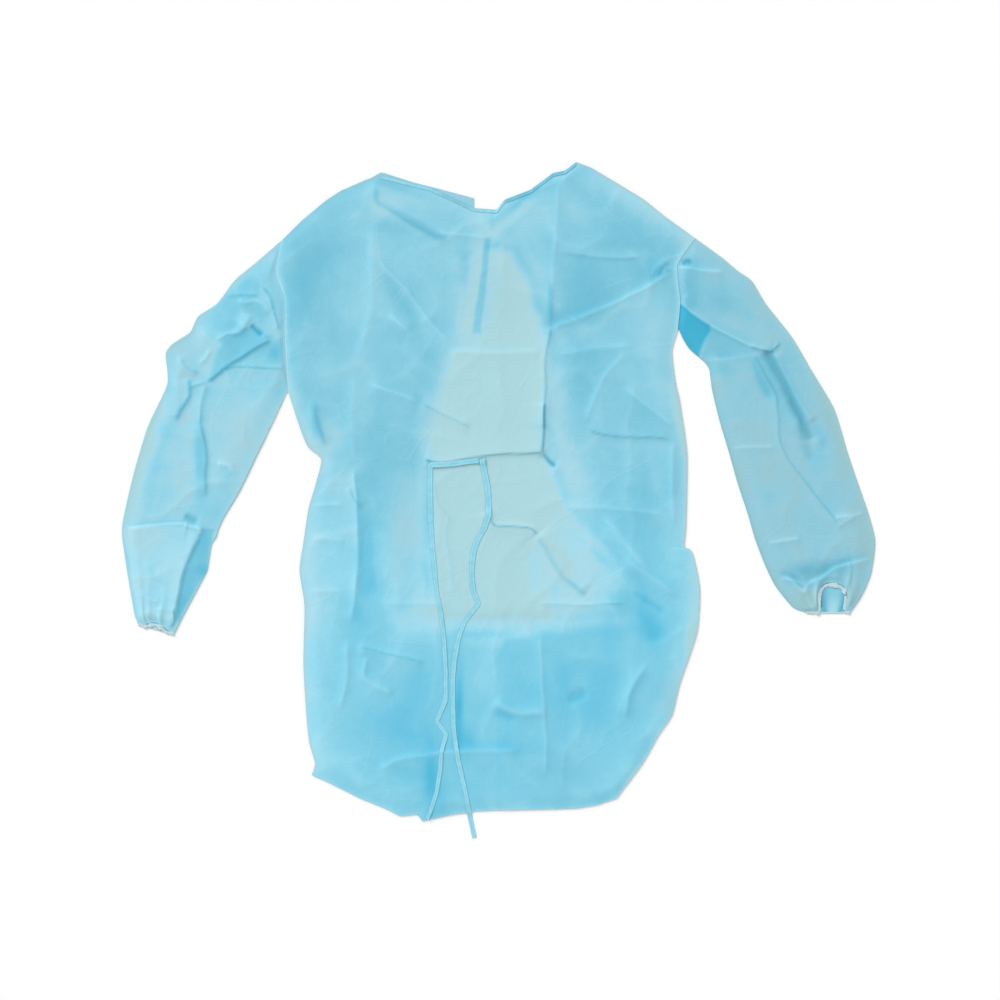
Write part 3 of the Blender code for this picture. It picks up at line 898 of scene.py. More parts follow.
@dataclass(frozen=True)
class TieFinish:
    """The same cloth folded into a narrow strip, so that it is brighter and denser."""

    name: str = "tie_cloth"
    colour: tuple[float, float, float] = linear(164, 228, 243)
    edge: tuple[float, float, float] = linear(104, 186, 212)
    roughness: float = 0.58
    cloudy: float = 0.8
    fibrous: float = 0.5

    def material(self) -> bpy.types.Material:
        """Builds the material."""
        bench = NodeBench(self.name)
        clouds = bench.noise(0.009, 4.0)
        fibres = bench.noise(0.0014, 3.0, (1.0, 0.4, 1.0), 0.7)
        count = bench.attribute("plies")
        for more in (bench.sway(clouds, self.cloudy), bench.sway(fibres, self.fibrous)):
            count = bench.math("ADD", count, more)
        soft = bench.bump(bench.noise(0.006, 3.0), 0.0008, 0.4)
        return bench.finished({
            "Base Color": bench.ramp(count, ((0.0, self.colour), (1.0, self.edge))),
            "Roughness": self.roughness, "Sheen Weight": 0.1, "Specular IOR Level": 0.3,
            "Normal": bench.bump(fibres, 0.00015, 0.5, soft),
        })


@dataclass(frozen=True)
class ElasticFinish:
    """White knitted elastic with fine ribs round it."""

    name: str = "cuff_elastic"
    colour: tuple[float, float, float] = linear(204, 224, 229)
    shade: tuple[float, float, float] = linear(160, 196, 207)
    roughness: float = 0.7

    def material(self) -> bpy.types.Material:
        """Builds the material."""
        bench = NodeBench(self.name)
        yarn = bench.noise(0.0012, 3.0)
        return bench.finished({
            "Base Color": bench.ramp(yarn, ((0.3, self.shade), (0.62, self.colour))),
            "Roughness": self.roughness, "Sheen Weight": 0.3,
            "Normal": bench.bump(yarn, 0.0003, 0.7),
        })


@dataclass(frozen=True)
class ThreadFinish:
    """Pale blue sewing thread."""

    name: str = "thread"
    colour: tuple[float, float, float] = linear(170, 226, 240)
    roughness: float = 0.5

    def material(self) -> bpy.types.Material:
        """Builds the material."""
        bench = NodeBench(self.name)
        twist = bench.noise(0.0008, 2.0)
        dark = tuple(value * 0.7 for value in self.colour)
        return bench.finished({
            "Base Color": bench.ramp(twist, ((0.3, dark), (0.6, self.colour))),
            "Roughness": self.roughness, "Normal": bench.bump(twist, 0.0001, 0.6),
        })


@dataclass(frozen=True)
class FloorFinish:
    """A plain white floor."""

    name: str = "floor"
    colour: tuple[float, float, float] = (1.0, 1.0, 1.0)
    roughness: float = 0.9

    def material(self) -> bpy.types.Material:
        """Builds the material."""
        return NodeBench(self.name).finished({
            "Base Color": (*self.colour, 1.0), "Roughness": self.roughness,
        })


@dataclass(frozen=True)
class Finishes:
    """Every finish of the gown, built once."""

    cloth: bpy.types.Material
    tie: bpy.types.Material
    elastic: bpy.types.Material
    thread: bpy.types.Material

    @classmethod
    def build(cls) -> "Finishes":
        """Builds the four materials."""
        return cls(
            NonwovenFinish().material(), TieFinish().material(), ElasticFinish().material(),
            ThreadFinish().material(),
        )


class Ground:
    """What already lies there, so that the next piece can lie on it."""

    def __init__(self, below: list[bpy.types.Object]) -> None:
        """Reads the pieces below."""
        ready = bpy.context.evaluated_depsgraph_get()
        self.trees = [BVHTree.FromObject(piece, ready) for piece in below]

    def top(self, x: float, y: float) -> float:
        """The highest point under one place, or 0 on the bare floor."""
        start, down = Vector((x, y, 1.0)), Vector((0, 0, -1))
        hits = (tree.ray_cast(start, down)[0] for tree in self.trees)
        return max((hit.z for hit in hits if hit is not None), default=0.0)

    def tops(self, places: Points, reach: float, feelers: int = 8) -> Points:
        """The highest point within reach of each place of a grid."""
        turns = [math.tau * step / feelers for step in range(feelers)]
        around = [(0.0, 0.0)] + [(reach * math.cos(t), reach * math.sin(t)) for t in turns]
        flat = places.reshape(-1, 2).tolist()
        found = [max(self.top(x + dx, y + dy) for dx, dy in around) for x, y in flat]
        return np.array(found).reshape(places.shape[:-1])


@dataclass
class BackPanels:
    """Both halves of the back, flat on the floor, the left one over the right one below."""

    finishes: Finishes
    columns: int = 64
    armhole_cells: int = 63
    side_cells: int = 196
    wall: float = 0.4 * MM
    low: float = 0.42 * MM
    crumple: float = 0.25 * MM
    crumple_size: float = 80 * MM
    crumple_seed: float = 33.0
    drift: tuple[float, float, float] = (50 * MM, 10 * MM, 31.0)
    flat_rim: Span = (0.02, 0.06)
    overlap_rise: float = 0.9 * MM
    overlap_corner: Span = (-60 * MM, -205 * MM)
    overlap_fade: Span = (50 * MM, 20 * MM)
    plies: float = 1.35
    # painted shade over both panels
    shade: float = 0.28
    left_top: Table = (
        (-392, 468), (-286, 558), (-236, 578), (-212, 592), (-153, 573), (-113, 563), (-45, 545),
    )
    right_top: Table = (
        (-20, 457), (20, 500), (59, 540), (99, 575), (139, 605), (167, 597), (218, 566),
        (259, 541), (299, 508), (353, 473),
    )
    left_edge: Table = (
        (-45, 545), (-45, 470), (-61, 430), (-72, 370), (-81, 288), (-101, 248), (-126, 151),
        (-142, 95), (-178, 2), (-205, -79), (-205, -178), (-176, -222), (100, -254),
        (110, -300), (110, -552),
    )
    right_edge: Table = (
        (-20, 457), (20, 448), (50, 398), (60, 350), (85, 308), (81, 198), (83, 86), (110, 2),
        (182, -79), (252, -160), (250, -216), (16, -250), (2, -290), (2, -552),
    )

    def free_edge(self, table: Table, side: Points) -> Points:
        """A free edge with a point level with each point of its side."""
        rows = np.array(table, float) * MM
        share = (side[:, 1] - side[0, 1]) / (side[-1, 1] - side[0, 1])
        y = rows[0, 1] + share * (rows[-1, 1] - rows[0, 1])
        return np.column_stack([np.interp(-y, -rows[:, 1], rows[:, 0]), y])

    def build(self) -> list[bpy.types.Object]:
        """Lays down both panels, the right one first."""
        left, right = BODY.sides(self.armhole_cells, self.side_cells)
        right_back = self.panel(Side.RIGHT, BODY.patch(
            self.free_edge(self.right_edge, right), right, self.right_top, self.columns))
        left_back = self.panel(Side.LEFT, BODY.patch(
            left, self.free_edge(self.left_edge, left), self.left_top, self.columns))
        return [right_back, left_back]

    def panel(self, side: Side, grid: Points) -> bpy.types.Object:
        """Makes one panel over its grid of plan points."""
        fade = inset_share(*grid.shape[:2], self.flat_rim)
        crests = ridges(wander(grid, *self.drift), self.crumple_size,
                        self.crumple_seed + side.value)
        height = self.low + self.crumple * crests**2 * fade
        if side is Side.LEFT:
            inside = (grid[..., 0] - self.overlap_corner[0]) / self.overlap_fade[0]
            below = (self.overlap_corner[1] - grid[..., 1]) / self.overlap_fade[1]
            height = height + self.overlap_rise * ease(below) * ease(inside)
        points = lie(grid, height)
        mesh = sheet_mesh(f"{side.word}_back", points)
        Maker.paint(mesh, points, plies=self.plies, shade=self.shade)
        piece = Maker.add(f"{side.word}_back", mesh, self.finishes.cloth)
        Maker.wall(piece, self.wall, 1.0)
        return Maker.seat(piece, Slot.CLOTH, f"back_{side.word}_panel")


@dataclass
class FrontPanel:
    """The front, with all the creases and the paler stretch where the back lies open."""

    finishes: Finishes
    backs: BackPanels
    armhole_cells: int = 80
    side_cells: int = 250
    columns: int = 250
    seed: float = 5.0
    wall: float = 0.4 * MM
    under: float = 0.56
    flat_rim: Span = (0.03, 0.045)
    low: float = 1.0 * MM
    over_back: float = 0.6 * MM
    most_seen: float = 1.25
    seam_level: float = 1.1 * MM
    seam_fade: int = 14
    seam_reach: float = 0.03
    seam_glint: float = 0.9
    edge_plies: float = 0.5
    edge_shade: float = 0.12
    # painted shade over the upper front; veil_plies takes layers off to balance its darkening
    veil_shade: float = 0.3
    veil_plies: float = 0.8
    veil_low: float = -130 * MM
    veil_fade: float = 260 * MM
    left_soft: float = 34
    right_soft: float = 13
    step_soft: float = 14
    top: Table = (
        (-392, 468), (-354, 505), (-311, 541), (-285, 558), (-239, 578), (-212, 586), (-124, 564),
        (-45, 527), (-4, 524), (10, 542), (57, 560), (97, 590), (120, 595), (139, 610),
        (167, 599), (219, 568), (260, 543), (301, 510), (353, 473),
    )
    creases: tuple[Crease, ...] = (
        Crease(((108, 592), (101, 500), (97, 434), (93, 349), (91, 310)), 2.4, 14, 10, 1.1,
               dark=-0.25, tilt=-0.2),
        Crease(((92, 400), (93, 349), (94, 308)), 1.0, 6, 6, ends=30, dark=0.7, dark_width=5,
               shade=0.12, shade_width=5),
        Crease(((94, 312), (85, 268), (82, 176), (80, 130)), 2.4, 5, 14, 1.1, 8, 0.3, 2.6,
               shade=0.4, shade_width=2.0),
        Crease(((82, 176), (80, 130), (77, 86)), 2.8, 5, 14, 1.1, 6, 0.5, 2.8, shade=0.8,
               shade_width=2.2),
        Crease(((-228, 505), (-228, 465), (-230, 349), (-246, 285), (-260, 237)), 1.8, 8, 8, 1.2,
               40, -0.22, 9, -0.2, 40),
        Crease(((-260, 237), (-268, 146), (-265, 60)), 2.2, 12, 12, 1.3, dark=-0.25,
               dark_width=7, tilt=-0.25, tilt_width=50),
        Crease(((-262, 62), (-256, 0), (-254, -80), (-257, -150), (-268, -225)), 2.0, 8, 6, 1.1,
               24, -0.15, 2.4, 0.75, 26),
        Crease(((-219, 572), (-221, 540), (-193, 519), (-158, 500), (-121, 480), (-90, 470)), 1.8,
               14,
               10, 1.6, 16, 0.4, 5.5, shade=0.14, shade_width=4),
        Crease(((-121, 482), (-60, 480), (-17, 474)), 1.2, 6, 8, 1.2, 20, -0.35, 2.4),
        Crease(((-222, 436), (-167, 379), (-121, 318), (-84, 281)), 1.8, 4, 5, 1.0, 26, -0.35, 2.2,
               0.3, 22),
        Crease(((-214, 420), (-170, 350), (-130, 290)), -1.4, 14, 14, 1.6, 40, 0.4, 14),
        Crease(((-202, 339), (-157, 301)), 2.2, 8, 8, 1.1, 18, -0.45, 2.2),
        Crease(((-238, 212), (-188, 197), (-141, 177)), 2.6, 8, 14, 1.1, 20, -0.55, 2.3, 0.2),
        Crease(((-141, 177), (-100, 156), (-49, 131)), 2.2, 8, 14, 1.1, 16, 0.2, 2.3, shade=0.3),
        Crease(((-91, 268), (76, 268)), 1.6, 4, 16, 1.1, 14, -0.15, 2.2, 0.45, 34),
        Crease(((92, 309), (140, 330), (187, 349), (250, 378), (312, 414)), 2.8, 3.5, 9, 1.0, 14,
               -0.5, 2.2, 0.45, 26),
        Crease(((272, 401), (284, 424), (310, 438), (334, 448)), 1.6, 3, 5, 1.0, 10, -0.4, 2.2,
               0.2, 14),
        Crease(((284, 404), (292, 420), (306, 430)), 1.4, 3, 5, 1.0, 8, 0.4, 2.4, shade=0.25),
        Crease(((296, 405), (300, 418), (316, 421)), 1.4, 3, 5, 1.0, 8, -0.4, 2.0),
        Crease(((95, 263), (180, 276), (248, 281)), 2.0, 8, 12, 1.2, 30, -0.35, 3.0),
        Crease(((150, 138), (172, 190), (190, 226), (232, 272)), 1.8, 4, 7, 1.1, 22, -0.3, 3.5,
               0.3, 20),
        Crease(((222, 204), (252, 182), (292, 152), (318, 130)), 1.8, 6, 4, 1.1, 20, -0.35, 2.2,
               -0.25, 24),
        Crease(((154, 131), (187, 119), (309, 111)), 2.2, 14, 5, 1.1, 18, 0.35, 2.4, 0.25, 20,
               0.25),
        Crease(((106, 447), (146, 441), (196, 436), (226, 435), (262, 437)), 1.2, 10, 4, 1.1, 24,
               0.2, 2.2, -0.25, 26, 0.14),
        Crease(((-136, 75), (-108, 70), (-76, 73), (-34, 79), (20, 85), (78, 87)), 2.4, 18, 4, 1.1,
               8, 0.4, 2.4, shade=0.8, shade_width=1.9),
        Crease(((76, 88), (90, 73), (104, 60)), -2.5, 8, 8, 1.4, 8, 0.9, 5, shade=0.5,
               shade_width=4),
        Crease(((112, -12), (187, -13), (263, -20), (308, -25)), 1.8, 8, 8, 1.2, 30, -0.3, 2.6),
        Crease(((-331, 187), (-328, 146), (-313, 95)), 4.0, 14, 9, 1.2, 24, 0.55, 5, shade=0.15,
               shade_width=3.5),
        Crease(((-18, -16), (-14, -36), (-6, -45), (56, -50), (68, -62)), 2.8, 5, 16, 1.1, 8, 0.35,
               2.4, shade=0.75, shade_width=1.9),
        Crease(((66, -58), (80, -80), (92, -104), (112, -135), (130, -148), (160, -168)), 3.6, 20,
               6, 1.2, 14, 0.3, 5, shade=0.3, shade_width=4.5),
        Crease(((-230, -10), (-236, -60), (-236, -106), (-229, -187)), -2.6, 16, 16, 1.8, 40, 0.5,
               17),
        Crease(((187, -25), (279, -137)), 3.2, 10, 20, 1.2, 40, -0.45, 6, 0.25, 30),
        Crease(((311, 112), (311, 20), (312, -51)), 2.6, 8, 9, 1.1, 25, -0.4, 3.5, -0.2),
        Crease(((-215, -186), (-120, -187), (-85, -188)), 1.2, 6, 10, 1.1, 20, -0.15, 2.0,
               shade=0.25),
        Crease(((66, -186), (150, -187), (232, -184)), 2.0, 6, 12, 1.1, 20, 0.15, 2.0, 0.0, 20,
               0.35),
        Crease(((238, -162), (304, -205)), -2.2, 7, 7, 1.3, 20, 0.6, 5),
        Crease(((223, -99), (268, -135), (324, -175)), 3.0, 10, 12, 1.2, 30, -0.35, 3, 0.25),
        Crease(((-257, -259), (-193, -277), (-131, -290)), 3.4, 5, 14, 1.1, 18, 0.25, 2.4, 0.2, 26,
               0.25),
        Crease(((-238, -277), (-243, -317), (-187, -349)), 3.0, 7, 8, 1.1, 16, -0.45, 2.4, 0.2),
        Crease(((-274, -247), (-275, -328), (-290, -383)), 2.8, 8, 9, 1.1, 26, -0.4, 2.8),
        Crease(((121, -365), (162, -342)), -3.0, 9, 9, 1.6, 14, 0.5, 8),
        Crease(((-11, -358), (10, -372), (41, -383), (90, -380)), 4.0, 12, 8, 1.2, 18, -0.4, 5),
        Crease(((-14, -374), (36, -398)), -1.5, 8, 8, 1.6, 18, 0.5, 9),
        Crease(((268, -292), (238, -342), (227, -398)), 3.6, 9, 14, 1.2, 26, 0.35, 3, 0.3, 24),
        Crease(((74, -230), (76, -300), (80, -373), (83, -430), (83, -500)), 2.0, 7, 8, 1.1, 30,
               -0.4, 2.4),
        Crease(((-223, -484), (-167, -461), (-90, -452), (45, -446)), 3.0, 5, 20, 1.1, 26, -0.3,
               2.2, 0.3, 30),
        Crease(((232, -176), (304, -272)), -2.0, 22, 22, 1.8, 40, 0.5, 20),
        Crease(((41, -549), (162, -545), (212, -529)), -1.0, 10, 10, 1.6, 30, 0.4, 12),
        Crease(((-338, -5), (-278, -8)), 1.4, 4, 8, 1.1, 12, -0.35, 2.2),
        Crease(((-338, -67), (-275, -69)), 1.4, 4, 8, 1.1, 12, -0.3, 2.2),
        Crease(((-349, -162), (-274, -162)), 1.4, 4, 8, 1.1, 16, -0.3, 2.2),
        Crease(((-270, 30), (-262, 5), (-245, -14)), 2.0, 6, 8, 1.1, 12, 0.3, 2.2, shade=0.2),
        Crease(((-118, 50), (-110, 0), (-90, -30), (-95, -60), (-86, -120), (-82, -180)), 0.8, 8, 6,
               1.3, 30, 0.22, 2.6, shade=0.14, shade_width=2.5),
        Crease(((-392, 409), (-388, 350), (-384, 288)), 1.0, 6, 4, 1.2, 24, -0.7, 2.6),
    )
    patches: tuple[Patch, ...] = (
        Patch(((-25, 474), (-14, 474), (-33, 300), (-49, 300)), 0.8, 3.2),
        Patch(((-60, 440), (-31, 450), (-52, 302), (-80, 300)), -0.12, 9),
        Patch(((-214, 532), (-206, 540), (-104, 482), (-112, 470)), 0.3, 4),
    )
    touches: Rows = (
        (-350, -230, 30, 210, -0.6), (-325, -50, 60, 80, -0.3), (-372, 195, 16, 50, -0.4, 20),
        (-342, 112, 14, 40, -0.6, 20), (-300, 125, 25, 25, -0.3), (-265, 345, 28, 38, -0.3),
        (-215, 530, 28, 28, -0.3), (-120, 545, 110, 20, -0.3, -12), (-92, 432, 38, 60, -0.3),
        (60, 500, 45, 34, -0.5, 45), (72, 412, 20, 50, -0.35, 25), (250, 545, 95, 15, -0.5, -33),
        (340, 474, 22, 16, -0.5), (270, 322, 50, 38, -0.28), (292, 208, 32, 30, -0.4),
        (325, 150, 11, 50, -0.75, 10), (108, 180, 18, 80, -0.55), (135, 40, 28, 72, -0.7, 20),
        (320, -38, 30, 35, -0.3), (338, 60, 10, 90, -0.4), (350, -180, 16, 75, -0.55),
        (347, -258, 14, 26, -0.7), (310, -350, 18, 60, -0.6, -25), (80, -440, 55, 80, -0.2),
        (90, -548, 100, 16, -0.35), (225, -168, 44, 52, 1.0, 20), (285, 414, 18, 12, 0.55, 30),
        (-172, -50, 30, 110, -0.15, 0, 0.22), (-128, 0, 12, 90, 0.35), (-128, -145, 14, 40, 0.35),
        (-250, 190, 24, 60, -0.3), (-250, 310, 26, 40, -0.25), (-300, 105, 22, 30, -0.45),
        (-330, 128, 10, 22, 0.5), (-320, 440, 26, 40, 0.3), (-72, -340, 8, 120, 0.3),
        (-112, -520, 22, 60, 0.35), (-140, -430, 40, 24, 0.25), (0, -440, 60, 14, 0.25),
        (80, -205, 22, 22, -0.4), (320, -270, 14, 40, -0.4), (284, 28, 16, 24, -0.35),
        (290, -30, 16, 16, -0.3), (275, 282, 26, 22, -0.25), (150, 395, 40, 40, 0.3),
        (230, 460, 50, 16, 0.3), (30, 530, 34, 12, 0.5, 40), (10, 470, 12, 12, -0.4),
        (150, 240, 40, 60, 0.25), (-60, 400, 10, 50, 0.3), (-20, 330, 14, 30, 0.25),
        (-210, 520, 24, 16, -0.35), (-250, -230, 24, 50, 0.3), (230, -30, 60, 90, 0.15),
        (0, -206, 120, 12, 0.0, 0, 0.14), (142, -100, 46, 60, 0.35, 35), (80, -228, 130, 17, 0.5),
        (-152, 25, 20, 75, 0.55), (-165, -128, 38, 66, 0.65), (-215, 130, 42, 66, 0.5),
        (-312, 472, 50, 45, 0.28), (-386, 362, 24, 80, 0.4), (-188, -402, 50, 34, 0.8),
        (-122, -488, 14, 48, 1.0), (-160, -478, 66, 46, 0.4), (-60, -430, 20, 24, 0.9),
        (-73, -372, 9, 60, 0.5), (-240, -370, 40, 50, 0.2), (200, -390, 42, 30, 0.4),
        (140, -300, 60, 60, 0.3), (230, -440, 40, 30, 0.25), (130, 330, 46, 20, 0.6, 20),
        (77, 308, 14, 15, 0.4), (272, 420, 26, 24, 0.4), (-10, 508, 24, 28, 0.55),
        (50, 562, 62, 9, 0.6, 40), (-240, 30, 30, 40, 0.25), (66, -130, 18, 56, 0.3),
        (-120, 220, 26, 42, 0.28), (290, -235, 34, 50, 0.4), (-30, -300, 26, 60, -0.3),
        (170, -205, 90, 14, 0.45), (-126, -60, 12, 110, 0.35), (350, -262, 14, 34, -0.5),
        (-320, -460, 30, 34, -0.35), (-326, 78, 16, 26, -0.5), (-308, -200, 24, 60, -0.4),
        (-72, -370, 8, 50, 0.5), (60, 556, 50, 6, 0.5, 40), (-180, 506, 60, 8, -0.2, -28),
        (240, -505, 50, 14, -0.3, 48), (180, -330, 44, 40, 0.25), (60, 566, 60, 14, 0.65, 42),
        (-90, -330, 190, 160, 0.12), (150, -330, 130, 150, 0.12), (-352, 372, 22, 70, 0.5),
        (5, 375, 44, 60, 0.36, 0, 0.08), (-142, -322, 26, 30, 0.25), (182, -356, 24, 26, 0.25),
        (270, -34, 40, 60, 0.25, 0, 0.1), (110, -486, 60, 40, 0.0, 0, 0.2),
        (310, -357, 34, 50, 0.0, 0, 0.24), (180, 362, 40, 40, 0.15, 0, 0.08),
        (-150, -490, 60, 40, 0.2), (-20, -500, 40, 40, 0.2), (-20, -240, 60, 8, 0.5),
        (-106, -178, 26, 26, 0.18), (-175, 560, 70, 10, 0.3, -18), (200, 478, 60, 30, 0.35),
        (140, 512, 20, 20, -0.3), (-190, 525, 40, 18, -0.4, -25), (-62, 425, 14, 40, 0.3),
        (-222, -215, 22, 60, 0.2), (-172, -185, 26, 30, 0.35), (-230, -290, 20, 30, 0.25),
        (-160, -360, 40, 50, 0.35), (-130, -430, 30, 30, 0.25), (-74, -400, 8, 60, 0.4),
        (-112, -545, 20, 40, 0.4), (20, -445, 60, 12, 0.3), (150, -380, 30, 40, 0.4),
        (205, -290, 22, 70, 0.35), (230, -180, 30, 30, 0.35), (272, -240, 20, 30, 0.4),
        (182, -100, 10, 34, 0.6, 40), (210, -158, 16, 16, -0.4), (120, -125, 25, 30, -0.3),
        (-365, 507, 50, 8, 0.4, 40), (230, 535, 110, 14, -0.3, -33), (70, 130, 8, 70, 0.3),
        (88, 240, 8, 60, -0.3), (-45, 85, 50, 8, -0.25), (100, -160, 16, 40, 0.45),
        (205, -172, 60, 16, 0.25), (30, -244, 60, 14, -0.3), (146, -332, 22, 20, -0.35),
        (-128, 20, 10, 80, 0.2), (-175, 545, 60, 14, -0.25, -20), (-60, 545, 30, 10, -0.4),
        (72, 557, 50, 8, 0.5, 35), (-12, 494, 4, 14, 0.25, -8),
    )

    def plan(self) -> Points:
        """The front's grid of plan points."""
        left, right = BODY.sides(self.armhole_cells, self.side_cells)
        return BODY.patch(left, right, self.top, self.columns)

    def build(self) -> bpy.types.Object:
        """Lays the front on the back."""
        grid = self.plan()
        shape, flat = grid.shape[:2], grid.reshape(-1, 2)
        seen = sum(self.over_panel(side, soft).share(flat) for side, soft in (
            (Side.LEFT, self.left_soft), (Side.RIGHT, self.right_soft)))
        near = sum(self.over_panel(side, self.step_soft).share(flat) for side in Side)
        base = (self.low + self.over_back * near).reshape(shape)
        form = Relief(self.creases, self.patches, self.touches, self.seed).over(grid, 0.0)
        z = base + form.height * inset_share(*shape, self.flat_rim)
        down = np.arange(shape[0])
        along = ease(1 - down / (self.armhole_cells + self.seam_fade))[:, None]
        share = np.linspace(0, 1, self.columns + 1)
        z += (self.seam_level - base) * along * ease(
            1 - np.minimum(share, share[::-1]) / self.seam_reach)
        points = lie(grid, z)
        mesh = sheet_mesh("front", points)
        seen = 1.0 + np.minimum(seen, self.most_seen).reshape(shape) + form.plies
        # painted shade over the upper front, growing towards the neck where more than one layer
        # shows
        veil_shade = self.veil_shade * ease((grid[..., 1] - self.veil_low) / self.veil_fade)
        veil_shade *= np.clip(seen - 1.0, 0, 1)
        edges = edge_line(*shape, ends=True)
        # painted highlight along the armhole seams, taken off the shade
        seam_glint_share = ease(1.5 - down / self.armhole_cells)[:, None] * edge_line(*shape)
        # shade: painted shadow from the creases, the veil and the edges, less the painted seam
        # highlight
        Maker.paint(
            mesh, points, plies=seen - self.veil_plies * veil_shade - self.edge_plies * edges,
            shade=form.shade + veil_shade + self.edge_shade * edges - self.seam_glint * seam_glint_share,
        )
        piece = Maker.add("front", mesh, self.finishes.cloth)
        Maker.wall(piece, self.wall, 1.0, self.under)
        return Maker.seat(piece, Slot.CLOTH, "front_panel")

    def armhole_rows(self) -> list[Points]:
        """The two rows of stitches beside the armholes."""
        grid = self.plan()
        return [grid[3:self.armhole_cells - 1, column] for column in (1, -2)]

    def over_panel(self, side: Side, soft: float) -> Patch:
        """The stretch of the front under which a back panel lies, left open at the outside."""
        far = side.value * 900.0
        if side is Side.LEFT:
            edge = self.backs.left_edge
        else:
            edge = (*self.backs.right_top[4:0:-1], *self.backs.right_edge)
        low, high = -abs(far), abs(far)
        return Patch((*edge, (edge[-1][0], low), (far, low), (far, high), (edge[0][0], high)),
                     1.0, soft)


@dataclass
class Sleeve:
    """A flattened sleeve: its lower layer flat, its upper one folded and bunched.

    The mouth numbers say how far the upper layer is drawn back from the cuff, in millimetres,
    where along the cuff, over what share of it and how sharply. The veil is how deep a painted
    shade over the whole sleeve is, and facing how much deeper that painted shade is on its outer
    and its inner edge. Inside the mouth, the lower layer gets painted light in its middle and
    painted shade deeper in and at its sides.
    """

    finishes: Finishes
    side: Side
    outer: Table
    inner: Table
    relief: Relief
    mouth_depth: float
    mouth_middle: float
    mouth_spread: float
    mouth_power: float
    gather_waves: float
    plies: float
    veil_shade: float
    facing: Span
    seam_rows: int
    across: int = 84
    along: int = 210
    wall: float = 0.4 * MM
    low: float = 0.45 * MM
    rim: float = 0.9 * MM
    seam_level: float = 0.85 * MM
    seam_lap: float = 3.4 * MM
    turn_inset: float = 1.0 * MM
    gather_height: float = 3.4 * MM
    gather_reach: float = 46.0 * MM
    gather_bends: tuple[Span, Span] = ((0.5, 9.0), (0.3, 23.0))
    gather_uneven: Span = (0.4, 17.0)
    gather_start: Span = (0.25, 12 * MM)
    pull_reach: float = 50.0 * MM
    pull_share: float = 1.6
    edge_plies: float = 0.55
    flat_rim: Span = (0.03, 0.2)
    lower_plies: float = 0.6
    seam_gap: float = 0.35 * MM
    deep_shade: float = 0.5
    side_shade: float = 0.75
    shade_reach: float = 50.0 * MM
    mouth_glow: float = 0.75
    plan: Points = field(init=False)
    upper: Points = field(init=False)
    top: Points = field(init=False)
    counts: Points = field(init=False)
    shades: Points = field(init=False)

    def lay_out(self) -> None:
        """Works out the plan of both layers, and the height of the upper one."""
        across, along = self.across, self.along
        outer, inner = smooth_curve(self.outer, along), smooth_curve(self.inner, along)
        share = np.linspace(0, 1, across + 1)[None, :, None]
        grid = outer[:, None] * (1 - share) + inner[:, None] * share
        fade = (1 - np.linspace(0, 1, along + 1)[:, None, None]) ** 2
        armhole = BODY.left_armhole if self.side is Side.LEFT else BODY.right_armhole
        seam = smooth_curve(armhole, across) + np.array([self.side.value * self.seam_gap, 0.0])
        self.plan = grid + fade * (seam - grid[0])
        self.upper = self.drawn_back()
        self.upper[0, :, 0] -= self.side.value * self.seam_lap
        form = self.relief.over(self.upper, self.plies)
        edges = edge_line(along + 1, across + 1)
        facing = np.linspace(*self.facing, across + 1)[None, :]
        self.counts = form.plies - self.edge_plies * edges
        self.shades = form.shade + self.veil_shade + edges * facing
        height = form.height * inset_share(along + 1, across + 1, self.flat_rim)
        start = ease(1 - np.arange(along + 1) / self.seam_rows)[:, None]
        self.top = (self.rim * 2 + height) * (1 - start) + (self.seam_level + height) * start
        self.top += self.gathers()

    def cuff_rows(self) -> list[Points]:
        """The row of stitches over the cuff's elastic."""
        return [self.upper[-3, 4:-4]]

    def drawn_back(self) -> Points:
        """The upper layer's plan: its last rows draw back where the mouth gapes."""
        upper = self.plan.copy()
        rows, columns = upper.shape[:2]
        way = upper[-1] - upper[-4]
        way /= np.linalg.norm(way, axis=1)[:, None]
        share = np.linspace(0, 1, columns)
        off = np.abs(share - self.mouth_middle) / self.mouth_spread
        depth = self.mouth_depth * MM * np.exp(-(off**self.mouth_power))
        depth *= np.sin(np.pi * share) ** 0.5
        length = self.run_to_cuff()
        for row in range(rows):
            pull = ease(1 - length[row] / (self.pull_reach + depth * self.pull_share))
            upper[row] -= way * (depth * pull)[:, None]
        return upper

    def run_to_cuff(self) -> Points:
        """How far each row is from the cuff, in metres."""
        middle = self.plan[:, self.plan.shape[1] // 2]
        steps = np.linalg.norm(np.diff(middle, axis=0), axis=1)
        return np.concatenate([np.cumsum(steps[::-1])[::-1], [0]])

    def gathers(self) -> Points:
        """The puckers that the elastic pulls into the last stretch of the upper layer."""
        share = np.linspace(0, 1, self.plan.shape[1])[None, :]
        length = self.run_to_cuff()[:, None]
        near = np.exp(-length / self.gather_reach)
        (slow, slow_pace), (quick, quick_pace) = self.gather_bends
        bend = slow * np.sin(share * slow_pace + self.relief.seed)
        bend += quick * np.sin(share * quick_pace)
        uneven, pace = self.gather_uneven
        strength = 1 - uneven + uneven * np.sin(share * pace + self.relief.seed * 2)
        crest = 0.5 + 0.5 * np.cos(math.tau * self.gather_waves * share + bend)
        inset = np.sin(np.pi * share) ** 0.7
        least, reach = self.gather_start
        rise = ease(length / reach) * (1 - least) + least
        return self.gather_height * near * strength * crest**1.6 * inset * rise

    def mouth_inside(self) -> tuple[Points, Points]:
        """Painted light on the lower layer inside the mouth, as fewer layers in its middle, and its
        painted shade, deeper in and at its sides.
        """
        share = np.linspace(0, 1, self.plan.shape[1])[None, :]
        off = np.abs(share - self.mouth_middle) / self.mouth_spread
        length = self.run_to_cuff()[:, None] / self.shade_reach
        beside = np.exp(-(((off - 0.75) / 0.3) ** 2))
        near = np.exp(-(length**2))
        glow = self.mouth_glow * near * np.exp(-((off / 0.6) ** 2))
        return glow, near * (self.deep_shade * ease(length * 1.2) + self.side_shade * beside)

